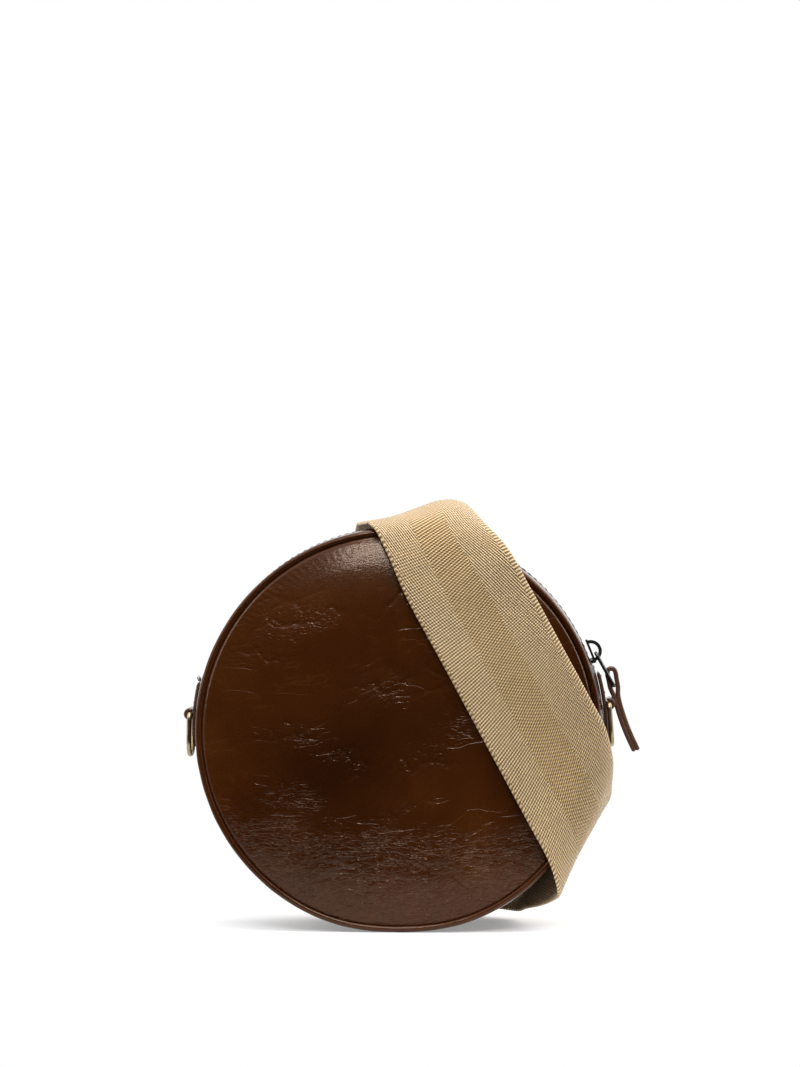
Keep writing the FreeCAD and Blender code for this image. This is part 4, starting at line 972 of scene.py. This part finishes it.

# Strap end at the adjuster
# The webbing comes up behind the hook's eye, goes over the adjuster's middle bar and down again.
adjuster_low, adjuster_high = (np.array(corner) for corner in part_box("strap_adjuster"))
BAR_DEPTH = 0.0498
BAR_HEIGHT = (adjuster_low[2] + adjuster_high[2]) / 2
TAIL_FOLD = 0.0023
TAIL_STEPS = np.array([0.0089, 0.0164, 0.0224])
TAIL_DROPS = np.array([0.0036, 0.0140])
tail_depths, tail_heights = arc((BAR_DEPTH, BAR_HEIGHT), TAIL_FOLD, 0, 180, FOLD_POINTS)
tail_pairs = np.concatenate([
    hanging(HANG_EYE[0] + EYE_FOLD, HANG_EYE[1] + TAIL_STEPS),
    hanging(tail_depths, tail_heights),
    hanging(BAR_DEPTH - TAIL_FOLD, BAR_HEIGHT - TAIL_DROPS),
])
tail_grid, tail_place, TAIL_LENGTH = strip_section(tail_pairs, *WEB_SECTION)
tail = skin("strap_tail_cloth", tail_grid, (False, True), tail_place, outward=True)
tail.data.materials.append(webbing)
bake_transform(tail)

# Adjuster and snap hooks
# Cast and bent metal with the rings' plating. Each hook has a wide wire eye in the webbing's fold, with a
# bored barrel in which the claw's post turns.
finish_nodes(old_brass.material, "strap_adjuster")
finish_nodes(old_brass.material, "hanging_hook_claw", "hanging_hook_gate")
finish_nodes(old_brass.material, "floor_hook_claw", "floor_hook_gate")
EYE_HALF = 0.0277
EYE_LOW = -0.0124
EYE_CORNER = 0.0024
BARREL_RADIUS = 0.0040
BARREL_ENDS = (-0.0184, -0.0102)
BARREL_BORE = 0.0020
BARREL_BEVEL = 0.0004


def turned_part(profile, sides=28):
    """A profile of radius and height turned about the upright axis."""
    turn = np.linspace(0, 2 * np.pi, sides, endpoint=False)[None, :]
    radius, height = profile[:, :1], np.broadcast_to(profile[:, 1:], (len(profile), sides))
    return np.stack([radius * np.cos(turn), radius * np.sin(turn), height], axis=-1)


eye_path = np.insert(rounded_loop(EYE_HALF, EYE_LOW, EYE_CORNER, EYE_CORNER), 1, 0.0, axis=1)
eye_wire = tube(eye_path, EYE_ROD, (0, 1, 0), 16)
foot, top = BARREL_ENDS
bevelled = BARREL_RADIUS - BARREL_BEVEL
barrel = turned_part(np.array([
    (BARREL_BORE, foot), (bevelled, foot), (BARREL_RADIUS, foot + BARREL_BEVEL),
    (BARREL_RADIUS, top - BARREL_BEVEL), (bevelled, top), (BARREL_BORE, top),
]))
UPRIGHT = np.eye(3)
LYING = np.array([(0, 0, 1), (0, -1, 0), (1, 0, 0)])
HOOK_TURNS = {
    "hanging": (UPRIGHT, np.array([(hang_low[0] + hang_high[0]) / 2, *HANG_EYE])),
    "floor": (LYING, np.array([*FLOOR_EYE, FLOOR_EDGE + WEB_WIDTH / 2])),
}
for name, (axes, place) in HOOK_TURNS.items():
    loop = skin(f"{name}_eye_wire", eye_wire @ axes + place, (True, True), outward=True)
    dress(loop, old_brass.material, f"{name}_eye", "old_brass", f"{name}_hook_eye")
    sleeve = skin(f"{name}_eye_barrel", barrel @ axes + place, (False, True), outward=True)
    dress(sleeve, old_brass.material, f"{name}_eye", "old_brass")

# Studio
# A white floor and backdrop, a broad soft light from above and the sides with little from the front, five
# lamps, and the camera in front of the bag, level with its top.
FLOOR_FRONT = -0.088
FLOOR_BACK = 3.0
FLOOR_SIDE = 3.0
SHADOW_REACH = (0.05, 0.15)
SHADOW_GLOW = 0.28
side_line = np.linspace(-FLOOR_SIDE, FLOOR_SIDE, 3)
depth_line = np.linspace(FLOOR_FRONT, FLOOR_BACK, 3)
stage_x, stage_y = np.meshgrid(side_line, depth_line, indexing="ij")
floor = skin("floor", np.stack([stage_x, stage_y, stage_x * 0.0], axis=-1))
white = Finish("white_floor")
here = white.node("ShaderNodeTexCoord", output="Object")
far = white.node("ShaderNodeVectorMath", {"operation": "LENGTH"}, {0: here}, "Value").step(*SHADOW_REACH)
white.surface(Base_Color=(0.95, 0.95, 0.95, 1.0), Roughness=0.6)
glow = white.node("ShaderNodeEmission", {}, {"Color": (1.0, 1.0, 1.0, 1.0), "Strength": 1.0})
ray = white.node("ShaderNodeLightPath", output="Is Camera Ray")
seen = ray.at_least(white.node("ShaderNodeLightPath", output="Is Glossy Ray"))
seen = seen.at_least(white.node("ShaderNodeLightPath", output="Is Transmission Ray"))
share = (far * (1.0 - SHADOW_GLOW) + SHADOW_GLOW) * seen
blend = white.node("ShaderNodeMixShader", {}, {0: share, 1: Signal(white, white.shader.outputs[0]), 2: glow})
white.tree.links.new(blend.socket, white.tree.nodes["Material Output"].inputs["Surface"])
floor.data.materials.append(white.material)

AMBIENT = 0.42
OVERHEAD = 1.70
FRONT_DIM = 0.02
OVERHEAD_FROM = (0.35, 0.75)
DIM_TO_FRONT = (0.25, 0.60)
DIM_BELOW = (0.46, 0.56)
world = bpy.data.worlds.new("studio")
bpy.context.scene.world = world
world.use_nodes = True
studio = Shop(world.node_tree)
_, north, high = studio.node("ShaderNodeTexCoord", output="Generated").axes()
dim = (north * -1.0).step(*DIM_TO_FRONT) * (1.0 - high.step(*DIM_BELOW))
lit = AMBIENT + high.step(*OVERHEAD_FROM) * (OVERHEAD - AMBIENT) - dim * (AMBIENT - FRONT_DIM)
mirrored = studio.node("ShaderNodeLightPath", output="Is Glossy Ray")
mirrored = mirrored.at_least(studio.node("ShaderNodeLightPath", output="Is Transmission Ray")) * (1.0 - dim)
lit = lit.at_least(studio.node("ShaderNodeLightPath", output="Is Camera Ray")).at_least(mirrored)
background = world.node_tree.nodes["Background"]
background.inputs["Color"].default_value = (1.0, 1.0, 1.0, 1.0)
world.node_tree.links.new(lit.socket, background.inputs["Strength"])

LAMPS = {
    "top_box": {"place": (0.1, -1.10, 0.84), "width": 0.8, "height": 0.12, "power": 7.2},
    "left_box": {"place": (-1.10, -0.50, 0.60), "width": 0.16, "height": 0.8, "power": 3.0},
    "right_box": {"place": (1.10, -0.35, 0.70), "width": 0.16, "height": 0.8, "power": 3.6},
    "overhead_box": {"place": (0.05, -0.30, 0.95), "width": 0.5, "height": 0.5, "power": 4.6},
    "rim_box": {"place": (0.85, 0.45, 0.70), "width": 0.25, "height": 0.9, "power": 5.0},
}


def softbox(name, place, target, width, height, power):
    """A rectangular lamp at a place, turned to face a target."""
    lamp = bpy.data.lights.new(name, "AREA")
    lamp.shape = "RECTANGLE"
    lamp.size = width
    lamp.size_y = height
    lamp.energy = power
    made = bpy.data.objects.new(name, lamp)
    made.location = place
    aim = np.array(target) - np.array(place)
    made.rotation_euler = (math.atan2(math.hypot(aim[0], aim[1]), -aim[2]), 0, math.atan2(-aim[0], aim[1]))
    bpy.context.scene.collection.objects.link(made)


for name, lamp in LAMPS.items():
    softbox(name, target=(0.0, 0.0, CENTRE_HEIGHT), **lamp)

CAMERA_DISTANCE = 1.60
CAMERA_YAW = math.radians(2.0)
FRAME_WIDTH = 0.354
CAMERA_HEIGHT = 0.1765
CAMERA_SHIFT = 0.0009
camera = bpy.data.cameras.new("camera")
camera.sensor_fit = "HORIZONTAL"
camera.sensor_width = 36.0
camera.lens = camera.sensor_width * CAMERA_DISTANCE / FRAME_WIDTH
eye = bpy.data.objects.new("camera", camera)
eye.location = (
    CAMERA_SHIFT + CAMERA_DISTANCE * math.sin(CAMERA_YAW),
    -SEAM_DEPTH - CAMERA_DISTANCE * math.cos(CAMERA_YAW),
    CAMERA_HEIGHT,
)
eye.rotation_euler = (math.radians(90), 0, CAMERA_YAW)
bpy.context.scene.collection.objects.link(eye)
bpy.context.scene.camera = eye
bpy.context.scene.view_settings.view_transform = "Standard"

bpy.context.view_layer.update()
